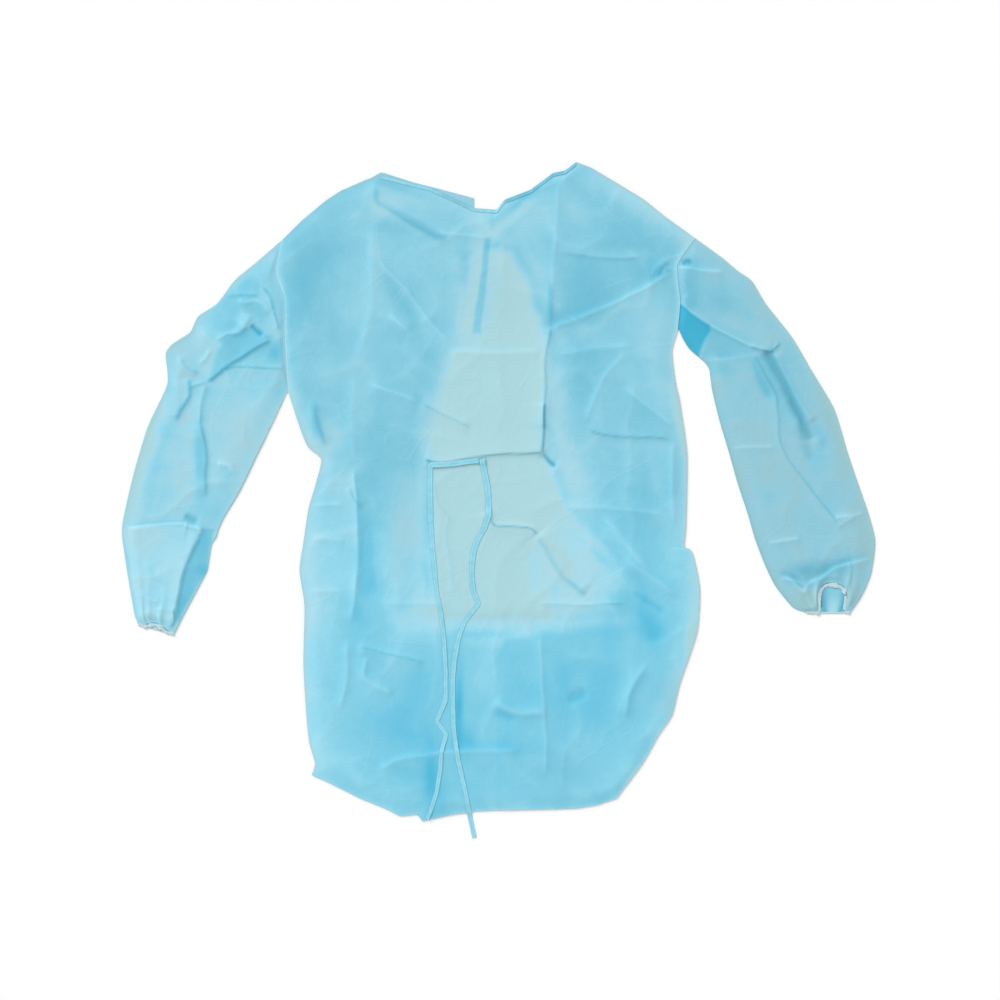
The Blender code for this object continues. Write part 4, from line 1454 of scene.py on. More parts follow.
    def ring_grid(self) -> tuple[Points, Points, Points]:
        """The rings round the sleeve, from the armhole to the cuff, their layers and shades."""
        rows, columns = self.plan.shape[:2]
        above, below = self.drawn_in(self.upper), self.drawn_in(self.plan)
        outer, inner = (lie(plan, np.full((rows, 1), self.rim))
                        for plan in (self.plan[:, :1], self.plan[:, -1:]))
        upper = lie(above, self.top)
        lower = lie(below[:, ::-1], np.full((rows, columns), self.low))
        rings = np.concatenate([outer, upper, inner, lower, outer], axis=1)
        edge, other, none = self.counts[:, :1], self.counts[:, -1:], np.zeros((rows, 1))
        glow, inside = (values[:, ::-1] for values in self.mouth_inside())
        plain = self.plies + self.lower_plies - glow
        return (
            rings, np.concatenate([edge, self.counts, other, plain, edge], axis=1),
            np.concatenate([none, self.shades, none, inside, none], axis=1),
        )

    def drawn_in(self, plan: Points) -> Points:
        """A plan whose first and last columns are drawn in a little, to round the turn."""
        drawn = plan.copy()
        for end, neighbour in ((0, 1), (-1, -2)):
            way = plan[:, neighbour] - plan[:, end]
            way /= np.linalg.norm(way, axis=1)[:, None]
            drawn[:, end] += way * self.turn_inset
        return drawn

    def build(self) -> bpy.types.Object:
        """Makes the sleeve."""
        self.lay_out()
        rings, counts, shades = self.ring_grid()
        name = f"{self.side.word}_arm"
        mesh = sheet_mesh(name, rings, closed=True)
        Maker.paint(mesh, rings, plies=counts, shade=shades)
        piece = Maker.add(name, mesh, self.finishes.cloth)
        Maker.wall(piece, self.wall, -1.0)
        return Maker.seat(piece, Slot.CLOTH, f"{self.side.word}_sleeve")


@dataclass
class CuffElastic:
    """The elastic round a cuff's mouth, which follows the edge of the gathered cloth."""

    finishes: Finishes
    sleeve: Sleeve
    width: float = 9.4 * MM
    thickness: float = 1.2 * MM
    low_share: float = 0.3
    least_shown: float = 0.25
    above_floor: float = 0.1 * MM
    narrow_below: float = 1.2 * MM
    narrow_fade: float = 1.0 * MM
    sections: int = 220
    sides: int = 10
    waves: float = 26.0
    pucker: float = 0.1

    def centreline(self) -> Points:
        """The middle of the band, once round the mouth."""
        sleeve = self.sleeve
        way = sleeve.plan[-1] - sleeve.plan[-4]
        way /= np.linalg.norm(way, axis=1)[:, None]
        out = way * self.width * 0.5
        drawn = np.linalg.norm(sleeve.upper[-1] - sleeve.plan[-1], axis=1)
        drawn /= sleeve.mouth_depth * MM
        shown = self.least_shown + (1 - self.least_shown) * ease(3 * drawn)
        high = sleeve.upper[-1] + out * shown[:, None]
        low = sleeve.plan[-1] + out * self.low_share
        top = sleeve.top[-1] - sleeve.wall / 2
        base = np.full(len(low), self.thickness / 2 + self.above_floor)
        upper = lie(high[1:-1], top[1:-1])
        lower = lie(low[::-1][1:-1], base[1:-1])
        turn, back = (lie(end, np.full(1, sleeve.rim)) for end in (low[-1:], low[:1]))
        return resample(np.concatenate([back, upper, turn, lower, back]), self.sections)

    def build(self) -> bpy.types.Object:
        """Makes the band as a tube of oval section."""
        line = self.centreline()
        ways = np.roll(line, -1, axis=0) - np.roll(line, 1, axis=0)
        ways[0] = ways[-1] = line[1] - line[-2]
        ways /= np.linalg.norm(ways, axis=1)[:, None]
        along = self.sleeve.plan[-1].mean(0) - self.sleeve.plan[-6].mean(0)
        along = np.array([*(along / np.linalg.norm(along)), 0.0])
        flat = along - ways * (ways @ along)[:, None]
        flat /= np.linalg.norm(flat, axis=1)[:, None]
        up = np.cross(ways, flat)
        turns = np.linspace(0, math.tau, self.sides + 1)
        pucker = 1 + self.pucker * np.sin(np.linspace(0, math.tau * self.waves, len(line)))
        pucker[-1] = pucker[0]
        high = ease((line[:, 2] - self.narrow_below) / self.narrow_fade)
        wide = self.width / 2 * pucker * (self.low_share + (1 - self.low_share) * high)
        thick = self.thickness / 2 * (2 - pucker)
        rings = (line[:, None] + flat[:, None] * (wide[:, None] * np.cos(turns))[..., None]
                 + up[:, None] * (thick[:, None] * np.sin(turns))[..., None])
        rings[-1] = rings[0]
        rings[:, -1] = rings[:, 0]
        rings[..., 2] = np.maximum(rings[..., 2], self.above_floor)
        name = f"{self.sleeve.side.word}_elastic"
        mesh = sheet_mesh(name, rings, closed=True)
        mesh.shade_smooth()
        piece = Maker.add(name, mesh, self.finishes.elastic)
        return Maker.seat(piece, Slot.ELASTIC, f"{self.sleeve.side.word}_cuff_elastic")


@dataclass
class Tie:
    """A flat tie, folded from a strip of the cloth, along a line over whatever is below it."""

    finishes: Finishes
    name: str
    node: str
    line: Table
    width: float
    below: list[bpy.types.Object]
    seed: float
    length_cells: int = 300
    across_cells: int = 8
    wall: float = 0.35 * MM
    clear: float = 0.12 * MM
    reach: float = 3.0 * MM
    curl: float = 0.4 * MM
    round_off: float = 7.0 * MM
    taper: float = 0.0
    taper_area: float = 0.75
    least_top: float = 0.01 * MM
    on_floor: float = 0.1 * MM
    pale: float = 0.16
    fold_line: Span = (0.36, 0.45)
    edge_line: Span = (0.55, 9)
    bridging: int = 6

    def build(self) -> bpy.types.Object:
        """Makes the tie."""
        line = self.rounded()
        ways = np.gradient(line, axis=0)
        ways /= np.linalg.norm(ways, axis=1)[:, None]
        sides = np.column_stack([-ways[:, 1], ways[:, 0]])
        run = np.linspace(0, 1, len(line))
        length = float(np.linalg.norm(np.diff(line, axis=0), axis=1).sum())
        samples = np.column_stack([run * length, np.zeros(len(run))])
        narrow = 1 + 0.16 * wave(samples, 0.05, self.seed)
        narrow -= 0.12 * np.abs(wave(samples, 0.021, self.seed + 1)) + self.taper * ease(run * 2.0)
        across = np.linspace(-1, 1, self.across_cells + 1)
        offsets = self.width / 2 * narrow[:, None] * across[None, :]
        grid = line[:, None] + sides[:, None] * offsets[..., None]
        tops = self.relaxed(Ground(self.below).tops(grid + SHIFT, self.reach))
        level = np.where(tops > self.least_top, tops + self.clear, self.on_floor)
        lean = wave(samples, 0.07, self.seed + 2)[:, None] * across[None, :]
        cup = (across**2)[None, :] * (0.5 + wave(samples, 0.04, self.seed + 3))[:, None]
        crinkle = ridges(np.stack(np.broadcast_arrays(
            (run * length)[:, None], offsets), axis=-1), 0.009, self.seed + 4)
        lift = self.curl * (np.maximum(lean, 0) * 0.9 + np.maximum(cup, 0) * 0.6 + 0.5 * crinkle**3)
        points = lie(grid, level + lift)
        mesh = sheet_mesh(self.name, points)
        (fold, fold_reach), (edge, power) = self.fold_line, self.edge_line
        plies = self.pale + fold * np.exp(-((across / fold_reach) ** 2))
        Maker.paint(mesh, points, plies=plies + edge * np.abs(across) ** power)
        piece = Maker.add(self.name, mesh, self.finishes.tie)
        Maker.wall(piece, self.wall, 1.0)
        Maker.seat(piece, Slot.TIE, self.node)
        return piece

    def rounded(self) -> Points:
        """The line's points with its corners rounded a little."""
        dense = resample(np.array(self.line, float) * MM, self.length_cells)
        step = np.linalg.norm(dense[1] - dense[0])
        window = max(1, round(self.round_off / step / 2))
        padded = np.vstack([dense[:1]] * window + [dense] + [dense[-1:]] * window)
        kernel = np.hanning(2 * window + 3)[1:-1]
        kernel /= kernel.sum()
        return np.column_stack([np.convolve(padded[:, k], kernel, "valid") for k in (0, 1)])

    def relaxed(self, tops: Points) -> Points:
        """Heights along a tie, with short dips bridged as a stiff strip does."""
        level = tops.max(1)
        for _ in range(self.bridging):
            padded = np.concatenate([level[:1], level, level[-1:]])
            level = np.maximum(level, (padded[:-2] + padded[2:]) / 2)
        return np.repeat(level[:, None], tops.shape[1], axis=1)


@dataclass
class NeckBinding:
    """The folded strip along the front neckline."""

    finishes: Finishes
    front: FrontPanel
    body: bpy.types.Object
    span: Span = (-212, 139)
    width: float = 6.5 * MM
    cells: int = 200
    across: int = 6
    wall: float = 0.3 * MM
    clear: float = 0.1 * MM
    reach: float = 2.0 * MM
    pucker: float = 0.15 * MM
    inner_row: int = 6
    plies: float = 0.42
    right_plies: tuple[float, float, float] = (0.5, 4 * MM, 12 * MM)
    dark_plies: tuple[float, float, float] = (0.3, -78 * MM, 30 * MM)
    edge_plies: float = 0.05

    def build(self) -> bpy.types.Object:
        """Makes the binding along the edge of the front's own points."""
        band = self.band()
        x = band[:, 0, 0]
        level = Ground([self.body]).tops(band + SHIFT, self.reach) + self.clear
        level += self.pucker * ridges(band, 0.012, 51.0) ** 3
        points = lie(band, level)
        mesh = sheet_mesh("front_neck_binding", points.transpose(1, 0, 2))
        (right, start, fade), (dark, middle, reach) = self.right_plies, self.dark_plies
        plies = self.plies + right * ease((x - start) / fade)
        plies += dark * np.exp(-(((x - middle) / reach) ** 2))
        edge = self.edge_plies * np.cos(np.linspace(0, math.tau, self.across + 1))
        Maker.paint(mesh, points, plies=plies[:, None] + edge)
        piece = Maker.add("front_neck_binding", mesh, self.finishes.tie)
        Maker.wall(piece, self.wall, 1.0)
        Maker.seat(piece, Slot.TIE, "neck_binding")
        return piece

    def band(self) -> Points:
        """The binding's plan points, along the neckline and across its own width."""
        grid = self.front.plan()
        x = np.linspace(self.span[0] * MM, self.span[1] * MM, self.cells + 1)
        edge, inner = (
            np.column_stack([x, np.interp(x, grid[row, :, 0], grid[row, :, 1])])
            for row in (0, self.inner_row)
        )
        way = (inner - edge) / np.linalg.norm(inner - edge, axis=1)[:, None]
        share = np.linspace(0, self.width, self.across + 1)
        return edge[:, None] + way[:, None] * share[None, :, None]

    def stitch_rows(self) -> list[Points]:
        """The row of stitches along the binding's inner edge."""
        return [self.band()[3:-3, -2]]


@dataclass
class Stitching:
    """Rows of machine stitches, each a short straight thread that lies a little sunk into the
    cloth.
    """

    finishes: Finishes
    name: str
    rows: list[Points]
    below: list[bpy.types.Object]
    pitch: float = 3.8 * MM
    gap: float = 1.1 * MM
    radius: float = 0.22 * MM
    sides: int = 6

    def build(self) -> bpy.types.Object:
        """Makes every stitch of the rows as one piece."""
        skin = bmesh.new()
        ground = Ground(self.below)
        for row in self.rows:
            length = float(np.linalg.norm(np.diff(row, axis=0), axis=1).sum())
            count = max(1, int(length / self.pitch))
            marks = resample(row, count * 4)
            size = length / (count * 4)
            reach = round((self.pitch - self.gap) / size)
            for first in range(0, count * 4 - reach + 1, 4):
                self.stitch(skin, ground, marks[first], marks[first + reach])
        mesh = bpy.data.meshes.new(self.name)
        skin.to_mesh(mesh)
        skin.free()
        piece = Maker.add(self.name, mesh, self.finishes.thread)
        return Maker.seat(piece, Slot.TIE)

    def stitch(self, skin: bmesh.types.BMesh, ground: Ground, start: Points, end: Points) -> None:
        """Adds one stitch between two places of the plan."""
        ends = [
            Vector((*(place + SHIFT), ground.top(*(place + SHIFT)) + self.radius / 2))
            for place in (start, end)
        ]
        way = ends[1] - ends[0]
        turn = way.to_track_quat("Z", "Y").to_matrix().to_4x4()
        bmesh.ops.create_cone(
            skin, cap_ends=True, segments=self.sides, radius1=self.radius, radius2=self.radius,
            depth=way.length, matrix=Matrix.Translation((ends[0] + ends[1]) / 2) @ turn,
        )


@dataclass
class Studio:
    """A white floor, soft light and a camera straight above."""

    view_width: float = 1.8
    photo_centre: tuple[float, float] = (1.8, 1.8)
    height: float = 6.0
    floor_size: float = 24.0
    key_way: tuple[float, float, float] = (-1.0, 1.05, 0.78)
    key_spread: float = 32.0
    key_strength: float = 2.0
    sky: float = 0.70
    sensor: float = 36.0
    below_floor: float = -0.2 * MM
    white: tuple[float, float, float, float] = (1.0, 1.0, 1.0, 1.0)

    def build(self) -> None:
        """Sets up the floor, the light and the camera."""
        skin = bmesh.new()
        bmesh.ops.create_grid(skin, x_segments=1, y_segments=1, size=self.floor_size / 2)
        bmesh.ops.translate(skin, verts=skin.verts, vec=(0, 0, self.below_floor))
        mesh = bpy.data.meshes.new("floor")
        skin.to_mesh(mesh)
        skin.free()
        floor = Maker.add("floor", mesh, FloorFinish().material())
        self.light("key", self.key_way, self.key_spread, self.key_strength)
        world = bpy.data.worlds.new("studio")
        world.use_nodes = True
        sky = world.node_tree.nodes["Background"]
        sky.inputs["Color"].default_value = self.white
        sky.inputs["Strength"].default_value = self.sky
        bpy.context.scene.world = world
        camera = bpy.data.objects.new("camera", bpy.data.cameras.new("camera"))
        camera.data.sensor_width = self.sensor
        camera.data.lens = camera.data.sensor_width * self.height / self.view_width
        x, y = np.array(self.photo_centre) * MM + SHIFT
        camera.location = (x, y, self.height)
        camera.data.clip_end = 100.0
        camera.data.dof.use_dof = False
        bpy.context.scene.collection.objects.link(camera)
        bpy.context.scene.camera = camera
        bpy.context.scene.view_settings.view_transform = "Standard"

    @staticmethod
    def light(name: str, way: tuple[float, float, float], spread: float, strength: float) -> None:
        """Adds a far, soft light that shines from the side given by way, the same everywhere."""
        lamp = bpy.data.lights.new(name, "SUN")
        lamp.angle = math.radians(spread)
        lamp.energy = strength
        holder = bpy.data.objects.new(name, lamp)
        holder.rotation_euler = (-Vector(way)).to_track_quat("-Z", "Y").to_euler()
        bpy.context.scene.collection.objects.link(holder)


LEFT_SLEEVE_RELIEF = Relief(
    creases=(
        Crease(((-410, 291), (-446, 270), (-475, 252), (-497, 236), (-526, 213)), 3.2, 3, 18, 1.2,
               10, 0.9, 2.6, shade=0.3, shade_width=1.9),
        Crease(((-497, 236), (-475, 241), (-439, 240), (-388, 237)), 1.6, 4, 12, 1.1, 8, 0.45, 2.2,
               shade=0.3, shade_width=1.8),
        Crease(((-447, 318), (-436, 307), (-423, 297)), -3.0, 5, 5, 1.5, 6, 1.6, 5, shade=0.3,
               shade_width=4),
        Crease(((-466, 367), (-461, 358), (-439, 360), (-425, 353), (-412, 338)), 3.0, 6, 8, 1.1, 8,
               -0.6, 2.4),
        Crease(((-493, 366), (-464, 371), (-432, 369)), 2.0, 6, 5, 1.2, 10, 0.4, 2.4, shade=0.25),
        Crease(((-428, 389), (-414, 371), (-407, 346), (-399, 321), (-398, 306)), 2.0, 5, 4, 1.1,
               10, 0.6, 2.6, 0.3, 16, 0.15),
        Crease(((-466, 310), (-453, 324), (-448, 336)), 4.0, 8, 4, 1.2, 6, -0.6, 2.6, 0.3),
        Crease(((-507, 285), (-489, 299), (-468, 301), (-450, 317)), 2.6, 12, 5, 1.1, 10, 0.15, 2.2,
               -0.5, 24, 0.3),
        Crease(((-534, 249), (-522, 267), (-518, 274)), 2.2, 4, 4, 1.1, 8, -0.5, 2.2),
        Crease(((-543, 243), (-530, 259)), 2.0, 4, 4, 1.1, 8, -0.45, 2.2),
        Crease(((-574, 263), (-569, 245), (-558, 236), (-540, 229)), 3.0, 5, 8, 1.2, 10, 0.25, 2.6,
               0.4, 18, 0.15),
        Crease(((-558, 224), (-556, 191), (-572, 166), (-583, 141)), 2.6, 4, 15, 1.2, 12, 0.85, 4.0,
               shade=0.15, shade_width=3.5),
        Crease(((-560, 202), (-545, 207), (-525, 213)), 2.0, 5, 5, 1.1, 8, 0.2, 2.2, shade=0.45),
        Crease(((-524, 213), (-536, 173), (-538, 137)), 2.4, 6, 10, 1.2, 12, 0.2, 3, 0.5, 18, 0.15),
        Crease(((-545, 318), (-520, 290), (-470, 262)), 2.6, 22, 18, 1.6, 25, -0.1),
        Crease(((-539, 150), (-529, 105), (-527, 73), (-529, 53), (-529, 4)), 3.2, 3.5, 18, 1.2, 20,
               0.25, 3, shade=0.2, shade_width=2.2),
        Crease(((-509, 69), (-485, 65), (-476, 45)), 2.4, 6, 6, 1.1, 10, -0.5, 2.6, -0.2),
        Crease(((-668, -49), (-655, -47), (-610, -42.5), (-574, -40), (-556, -42)), 3.0, 3, 20, 1.1,
               8, -0.5, 2.2, 0.25, 14),
        Crease(((-664, -43), (-610, -38), (-574, -36), (-558, -37)), 0.0, 3, 3, 1.1, 12, shade=0.3,
               shade_width=2.2),
        Crease(((-566, -44.5), (-551, -46.6), (-538, -51), (-538, -62)), 3.0, 4, 4, 1.2, 5, -0.8,
               3.2),
        Crease(((-566, -25), (-554, -34), (-540, -41)), -2.2, 7, 6, 1.5, 8, 0.7, 8, shade=0.3,
               shade_width=6),
        Crease(((-538, -61), (-553, -89), (-564, -117), (-574, -146), (-580, -178), (-582, -204)),
               2.6, 2.2, 16, 1.2, 8, -0.75, 3),
        Crease(((-534, -63), (-549, -91), (-559, -119), (-569, -148), (-575, -179), (-577, -204)),
               0.0, 3, 3, 1.2, 8, 0.1, 4, shade=0.1, shade_width=2.6),
        Crease(((-644, -106), (-620, -134), (-594, -150)), 1.6, 7, 7, 1.3, 20, 0.22, 7),
        Crease(((-646, -160), (-630, -176), (-606, -180)), 1.4, 6, 6, 1.2, 12, -0.3, 2.6),
        Crease(((-585, -188), (-584, -215), (-592, -228)), 2.0, 4, 4, 1.1, 8, 0.2, shade=0.55),
        Crease(((-636, -196), (-628, -214)), 1.5, 4, 4, 1.1, 6, shade=0.3),
        Crease(((-612, -190), (-608, -212)), 1.5, 4, 4, 1.1, 6, shade=0.2),
    ),
    patches=(
        Patch(((-408, 296), (-524, 212), (-510, 265), (-489, 296), (-455, 312), (-425, 300)), 0.6,
              6),
        Patch(((-392, 240), (-485, 240), (-412, 289), (-388, 296)), 0.35, 5),
        Patch(((-536, -50), (-513, -50), (-522, -95), (-526, -130), (-545, -155), (-577, -216),
               (-583, -212), (-581, -178), (-574, -146), (-564, -117), (-553, -89), (-538, -61)),
              0.9, 4, -0.9),
        Patch(((-675, -45), (-538, -50), (-563, -106), (-583, -214), (-648, -212)), -0.2, 4, 0.6,
              -0.16),
    ),
    touches=(
        (-560, 270, 40, 50, 0.0, 30, 0.12), (-612, 92, 22, 34, -0.35, -20),
        (-547, -155, 16, 40, -0.5, -20), (-575, 180, 12, 40, 0.0, -10, 0.14),
        (-403, 266, 10, 15, 0.9), (-537, 80, 11, 70, 0.95), (-547, 186, 14, 30, 0.2),
        (-540, 305, 52, 34, -0.2, 35), (-450, 390, 40, 20, 0.35, 40), (-609, 95, 12, 62, 0.4, -20),
        (-642, 60, 12, 80, -0.2, -18), (-560, 110, 16, 60, -0.2), (-533, -124, 12, 12, 0.7),
        (-563, -178, 12, 34, 0.5, -28), (-517, -58, 9, 9, -0.5), (-470, 130, 50, 60, -0.1),
        (-472, 356, 50, 24, 0.5, 38), (-464, 305, 14, 12, 0.3), (-430, 335, 20, 26, 0.6),
        (-482, 315, 18, 10, 0.6, 15), (-480, 396, 40, 12, -0.55, 42), (-545, 334, 20, 10, -0.5, 20),
        (-592, 285, 22, 12, -0.55, 40), (-622, 150, 12, 26, -0.4, -20),
        (-640, 90, 12, 60, -0.35, -16), (-572, 150, 14, 16, -0.35), (-490, 40, 14, 26, 0.35),
        (-600, -185, 26, 26, 0.3), (-505, 312, 26, 20, 0.4, 40), (-590, 240, 22, 34, 0.3),
        (-594, 200, 22, 22, 0.3), (-575, 290, 34, 20, 0.25, 30), (-650, 20, 18, 90, -0.35, -12),
        (-640, -75, 30, 30, -0.3), (-430, 60, 10, 90, -0.3, -20),
    ),
    seed=11.0, puff=1.2, swell=1.8, crumple=0.9, most=12.0, clouds=0.2,
)

RIGHT_SLEEVE_RELIEF = Relief(
    creases=(
        Crease(((316, 421), (345, 419), (372, 416), (405, 415)), 2.6, 4, 12, 1.1, 8, -0.5, 2.4, 0.4,
               14),
        Crease(((328, 424), (338, 430), (349, 427)), -2.4, 5, 5, 1.5, 6, 0.9, 5, shade=0.35,
               shade_width=4),
        Crease(((324, 361), (345, 340), (378, 318), (410, 300), (450, 281), (468, 274), (492, 269)),
               3.0, 14, 2.4, 1.2, 6, -0.75, 2.4),
        Crease(((450, 279), (470, 273), (490, 269), (500, 277), (507, 288)), 2.0, 5, 3, 1.1, 6, 0.2,
               2.4, shade=0.65, shade_width=1.9),
        Crease(((326, 356), (347, 335), (378, 313), (410, 295), (446, 279)), 0.0, 3, 3, 1.2, 8,
               shade=0.06, shade_width=3),
        Crease(((474, 275), (496, 240), (517, 200), (540, 157), (554, 125), (560, 105)), -3.0, 10,
               6,
               1.4, 12, 0.7, 12, shade=0.4, shade_width=9),
        Crease(((548, 140), (558, 112), (568, 72)), -1.6, 8, 6, 1.4, 20, 0.2, 11),
        Crease(((495, 268), (515, 223), (533, 191), (565, 140)), 3.0, 10, 2.2, 1.1, 10,
               -0.25, 2.6),
        Crease(((468, 274), (493, 245), (511, 209), (526, 173)), 0.8, 4, 4, 1.1, 10, -0.2, 2.2),
        Crease(((456, 270), (480, 225), (498, 190), (503, 150), (504, 112), (522, 72), (553, 31),
                (579, -2), (601, -31), (609, -46), (605, -57)), 1.6, 6, 10, 1.1, 30, 0.3, 2.4, 0.15,
               16, 0.2),
        Crease(((456, 262), (470, 220), (492, 180)), -1.0, 10, 10, 1.6, 16, 0.6, 8),
        Crease(((601, -31), (616, -28), (635, -26), (656, -19)), 2.2, 5, 7, 1.1, 8, -0.55, 2.4),
        Crease(((605, -48), (624, -35), (640, -29)), 1.8, 5, 7, 1.1, 8, -0.45, 2.2),
        Crease(((541, 146), (550, 109), (561, 79), (572, 61)), -1.8, 10, 10, 1.5, 24, 0.3, 11,
               shade=0.14, shade_width=10),
        Crease(((563, 150), (579, 116), (591, 84)), -1.6, 10, 10, 1.5, 22, 0.35, 10),
        Crease(((480, -76), (517, -72), (545, -67)), 1.8, 5, 8, 1.1, 12, -0.5, 2.4),
        Crease(((416, 97), (502, 97)), 1.4, 5, 8, 1.1, 16, -0.35, 2.4),
        Crease(((370, 257), (410, 254), (452, 262)), 1.4, 5, 8, 1.1, 12, -0.3, 2.4),
        Crease(((502, -138), (524, -144), (542, -160), (549, -162), (556, -148), (583, -135),
                (605, -121), (630, -112), (672, -101)), 3.2, 4, 14, 1.2, 10, -0.4, 2.6),
        Crease(((500, -130), (526, -137), (548, -153), (560, -141), (583, -129), (605, -115),
                (630, -106), (670, -96)), -1.2, 14, 4, 1.3, 14, 0.2, 7, shade=0.22, shade_width=7),
        Crease(((510, -137), (540, -147), (553, -151)), 1.5, 4, 4, 1.1, 8, -0.4, 2.2),
    ),
    patches=(
        # the armpit hollow: its deep painted shade stands as extra layers, and its shade below zero
        # takes back the sleeve's painted shade there
        Patch(((324, 360), (345, 338), (379, 317), (381, 306), (372, 292), (362, 270), (357, 255),
               (340, 262), (329, 288), (316, 313)), 2.7, 4, -1.0, -0.36),
        Patch(((379, 316), (452, 281), (462, 270), (440, 262), (400, 258), (366, 262), (374, 290)),
              0.55, 7, -0.6),
    ),
    touches=(
        (562, -124, 48, 16, 0.45, 12, 0.3), (605, -178, 60, 30, -0.25, 0, 0.04),
        (569, -172, 8, 26, -0.1, 0, -0.35), (597, -143, 24, 7, 0.0, 0, -0.3),
        (398, 362, 26, 26, 0.2, 0, 0.06), (415, 360, 60, 50, 0.2, -30),
        (600, 130, 22, 60, -0.25, 20), (580, 230, 20, 60, -0.2, 30), (655, -70, 16, 60, -0.2),
        (342, 392, 22, 56, 0.65), (420, 238, 55, 14, 0.4), (480, 225, 12, 40, 0.35, 25),
        (556, 122, 12, 18, -0.85), (586, 124, 12, 18, 0.3), (562, 90, 8, 20, -0.3),
        (425, 258, 50, 6, 0.4), (465, 380, 16, 20, -0.4, -40), (560, -178, 26, 14, -0.4),
        (490, -150, 14, 26, -0.3, 20), (430, 300, 44, 8, 0.4, -24), (345, 352, 16, 20, 0.4, -30),
        (390, 215, 14, 36, -0.35), (640, -150, 20, 50, -0.3, -20), (545, -178, 40, 22, -0.5, -20),
        (460, 400, 50, 10, -0.3, -42), (590, 190, 14, 60, -0.25, 30), (664, -20, 8, 90, -0.4, 12),
        (575, 70, 24, 30, 0.3),
    ),
    seed=23.0, puff=1.2, swell=1.8, crumple=0.8, most=12.0, clouds=0.2,
)


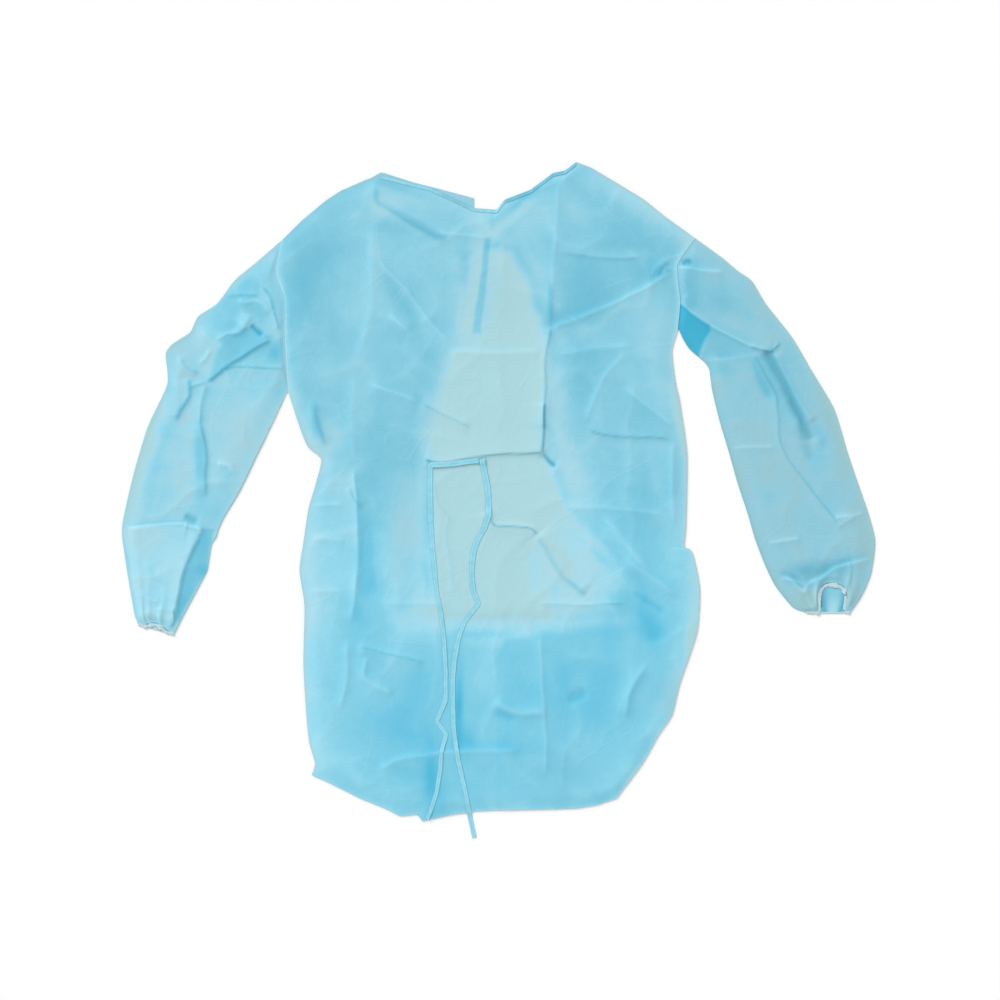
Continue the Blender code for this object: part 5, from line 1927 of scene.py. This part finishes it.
def make_gown(finishes: Finishes) -> list[bpy.types.Object]:
    """Lays the gown down from the bottom up.

    Args:
        finishes: The materials.

    Returns:
        Every piece made.
    """
    backs = BackPanels(finishes)
    right_back, left_back = backs.build()
    neck_left = Tie(
        finishes, "neck_tie_left", "left_neck_tie",
        ((-52, 526), (-78, 500), (-106, 474), (-150, 496), (-196, 520)),
        width=11 * MM, below=[left_back], seed=61.0, length_cells=90,
    ).build()
    neck_right = Tie(
        finishes, "neck_tie_right", "right_neck_tie",
        ((-28, 452), (-30, 407), (-35, 353), (-42, 299)),
        width=11 * MM, below=[left_back], seed=67.0, length_cells=80,
    ).build()
    front_maker = FrontPanel(finishes, backs)
    front = front_maker.build()
    seams = Stitching(finishes, "armhole_stitches", front_maker.armhole_rows(), [front]).build()
    neckline = NeckBinding(finishes, front_maker, front)
    binding = neckline.build()
    edging = Stitching(finishes, "neck_stitches", neckline.stitch_rows(), [front, binding],
                       pitch=3.2 * MM).build()
    waist_left = Tie(
        finishes, "waist_tie_left", "left_waist_tie",
        (
            (-36, 73), (-56, 71), (-82, 67), (-124, 65), (-124, 20), (-123, -38), (-118, -106),
            (-112, -165), (-105, -201), (-99, -250), (-96, -304), (-96, -358), (-112, -396),
            (-95, -419), (-104, -452), (-106, -482), (-112, -522), (-124, -560), (-130, -573),
        ), width=10 * MM, below=[front], seed=71.0, taper=0.22,
    ).build()
    waist_right = Tie(
        finishes, "waist_tie_right", "right_waist_tie",
        (
            (-31, 76), (-26, 50), (-21, 26), (-19, 0), (-19, -26), (-26, -48), (-38, -68),
            (-46, -90), (-49, -115), (-49, -140), (-46, -163), (-37, -185), (-50, -201),
            (-62, -217), (-72, -243), (-80, -283), (-83, -320), (-83, -358), (-82, -403),
            (-79, -430), (-74, -464), (-61, -522), (-54, -560), (-44, -607),
        ), width=11 * MM, below=[front, waist_left], seed=79.0, taper=0.25,
    ).build()
    tack = Stitching(
        finishes, "tie_stitches",
        [np.array(((low, y), (high, y - drop)), float) * MM for low, high, y, drop in (
            (-34, -22, 84, 1), (-22, -34, 82, 2), (-34, -22, 79, 1),
            (-22, -34, 77, 2), (-34, -22, 74, 1), (-22, -34, 72, 2),
        )],
        [front, waist_left, waist_right], pitch=13 * MM,
    ).build()
    made = [right_back, left_back, neck_left, neck_right, front, seams, binding, edging,
            waist_left, waist_right, tack]
    left_sleeve = Sleeve(
        finishes, Side.LEFT,
        (
            (-392, 468), (-434, 432), (-475, 398), (-507, 356), (-541, 333), (-555, 305),
            (-574, 292), (-590, 281), (-600, 264), (-597, 211), (-631, 137), (-653, 67), (-668, 7),
            (-679, -52), (-671, -117), (-657, -200), (-650, -221),
        ),
        (
            (-380, 198), (-390, 176), (-398, 160), (-405, 144), (-414, 126), (-421, 110),
            (-430, 92), (-438, 76), (-449, 52), (-468, 14), (-494, -29), (-504, -50),
            (-508, -64), (-517, -79), (-521, -102), (-525, -125), (-538, -151), (-569, -209),
            (-584, -239),
        ),
        LEFT_SLEEVE_RELIEF, mouth_depth=11, mouth_middle=0.5, mouth_spread=0.3, mouth_power=2.0,
        gather_waves=5.0, plies=1.55, veil_shade=0.12, facing=(0.2, 0.0), seam_rows=18,
    )
    right_sleeve = Sleeve(
        finishes, Side.RIGHT,
        (
            (353, 473), (378, 455), (405, 435), (430, 414), (455, 396), (480, 355), (527, 295),
            (563, 234), (603, 166), (627, 88), (647, 29), (665, -23), (677, -72), (670, -130),
            (653, -171), (633, -200),
        ),
        (
            (322, 311), (330, 293), (341, 275), (355, 262), (369, 250), (378, 236), (383, 200),
            (396, 146), (412, 92), (430, 29), (447, -22), (460, -67), (477, -112), (497, -153),
            (528, -191), (551, -200),
        ),
        RIGHT_SLEEVE_RELIEF, mouth_depth=54, mouth_middle=0.4, mouth_spread=0.215, mouth_power=4.0,
        gather_waves=7.0, plies=1.42, veil_shade=0.42, facing=(-0.2, 0.3), seam_rows=8,
    )
    for sleeve in (left_sleeve, right_sleeve):
        arm = sleeve.build()
        elastic = CuffElastic(finishes, sleeve).build()
        hem = Stitching(finishes, f"{sleeve.side.word}_cuff_stitches", sleeve.cuff_rows(),
                        [arm]).build()
        made += [arm, elastic, hem]
    return made


def main() -> None:
    """Builds the studio and the gown."""
    logging.basicConfig(level=logging.INFO, format="%(name)s %(message)s")
    Studio().build()
    for piece in make_gown(Finishes.build()):
        log.info("finished %s", piece.name)


if __name__ == "__main__":
    main()
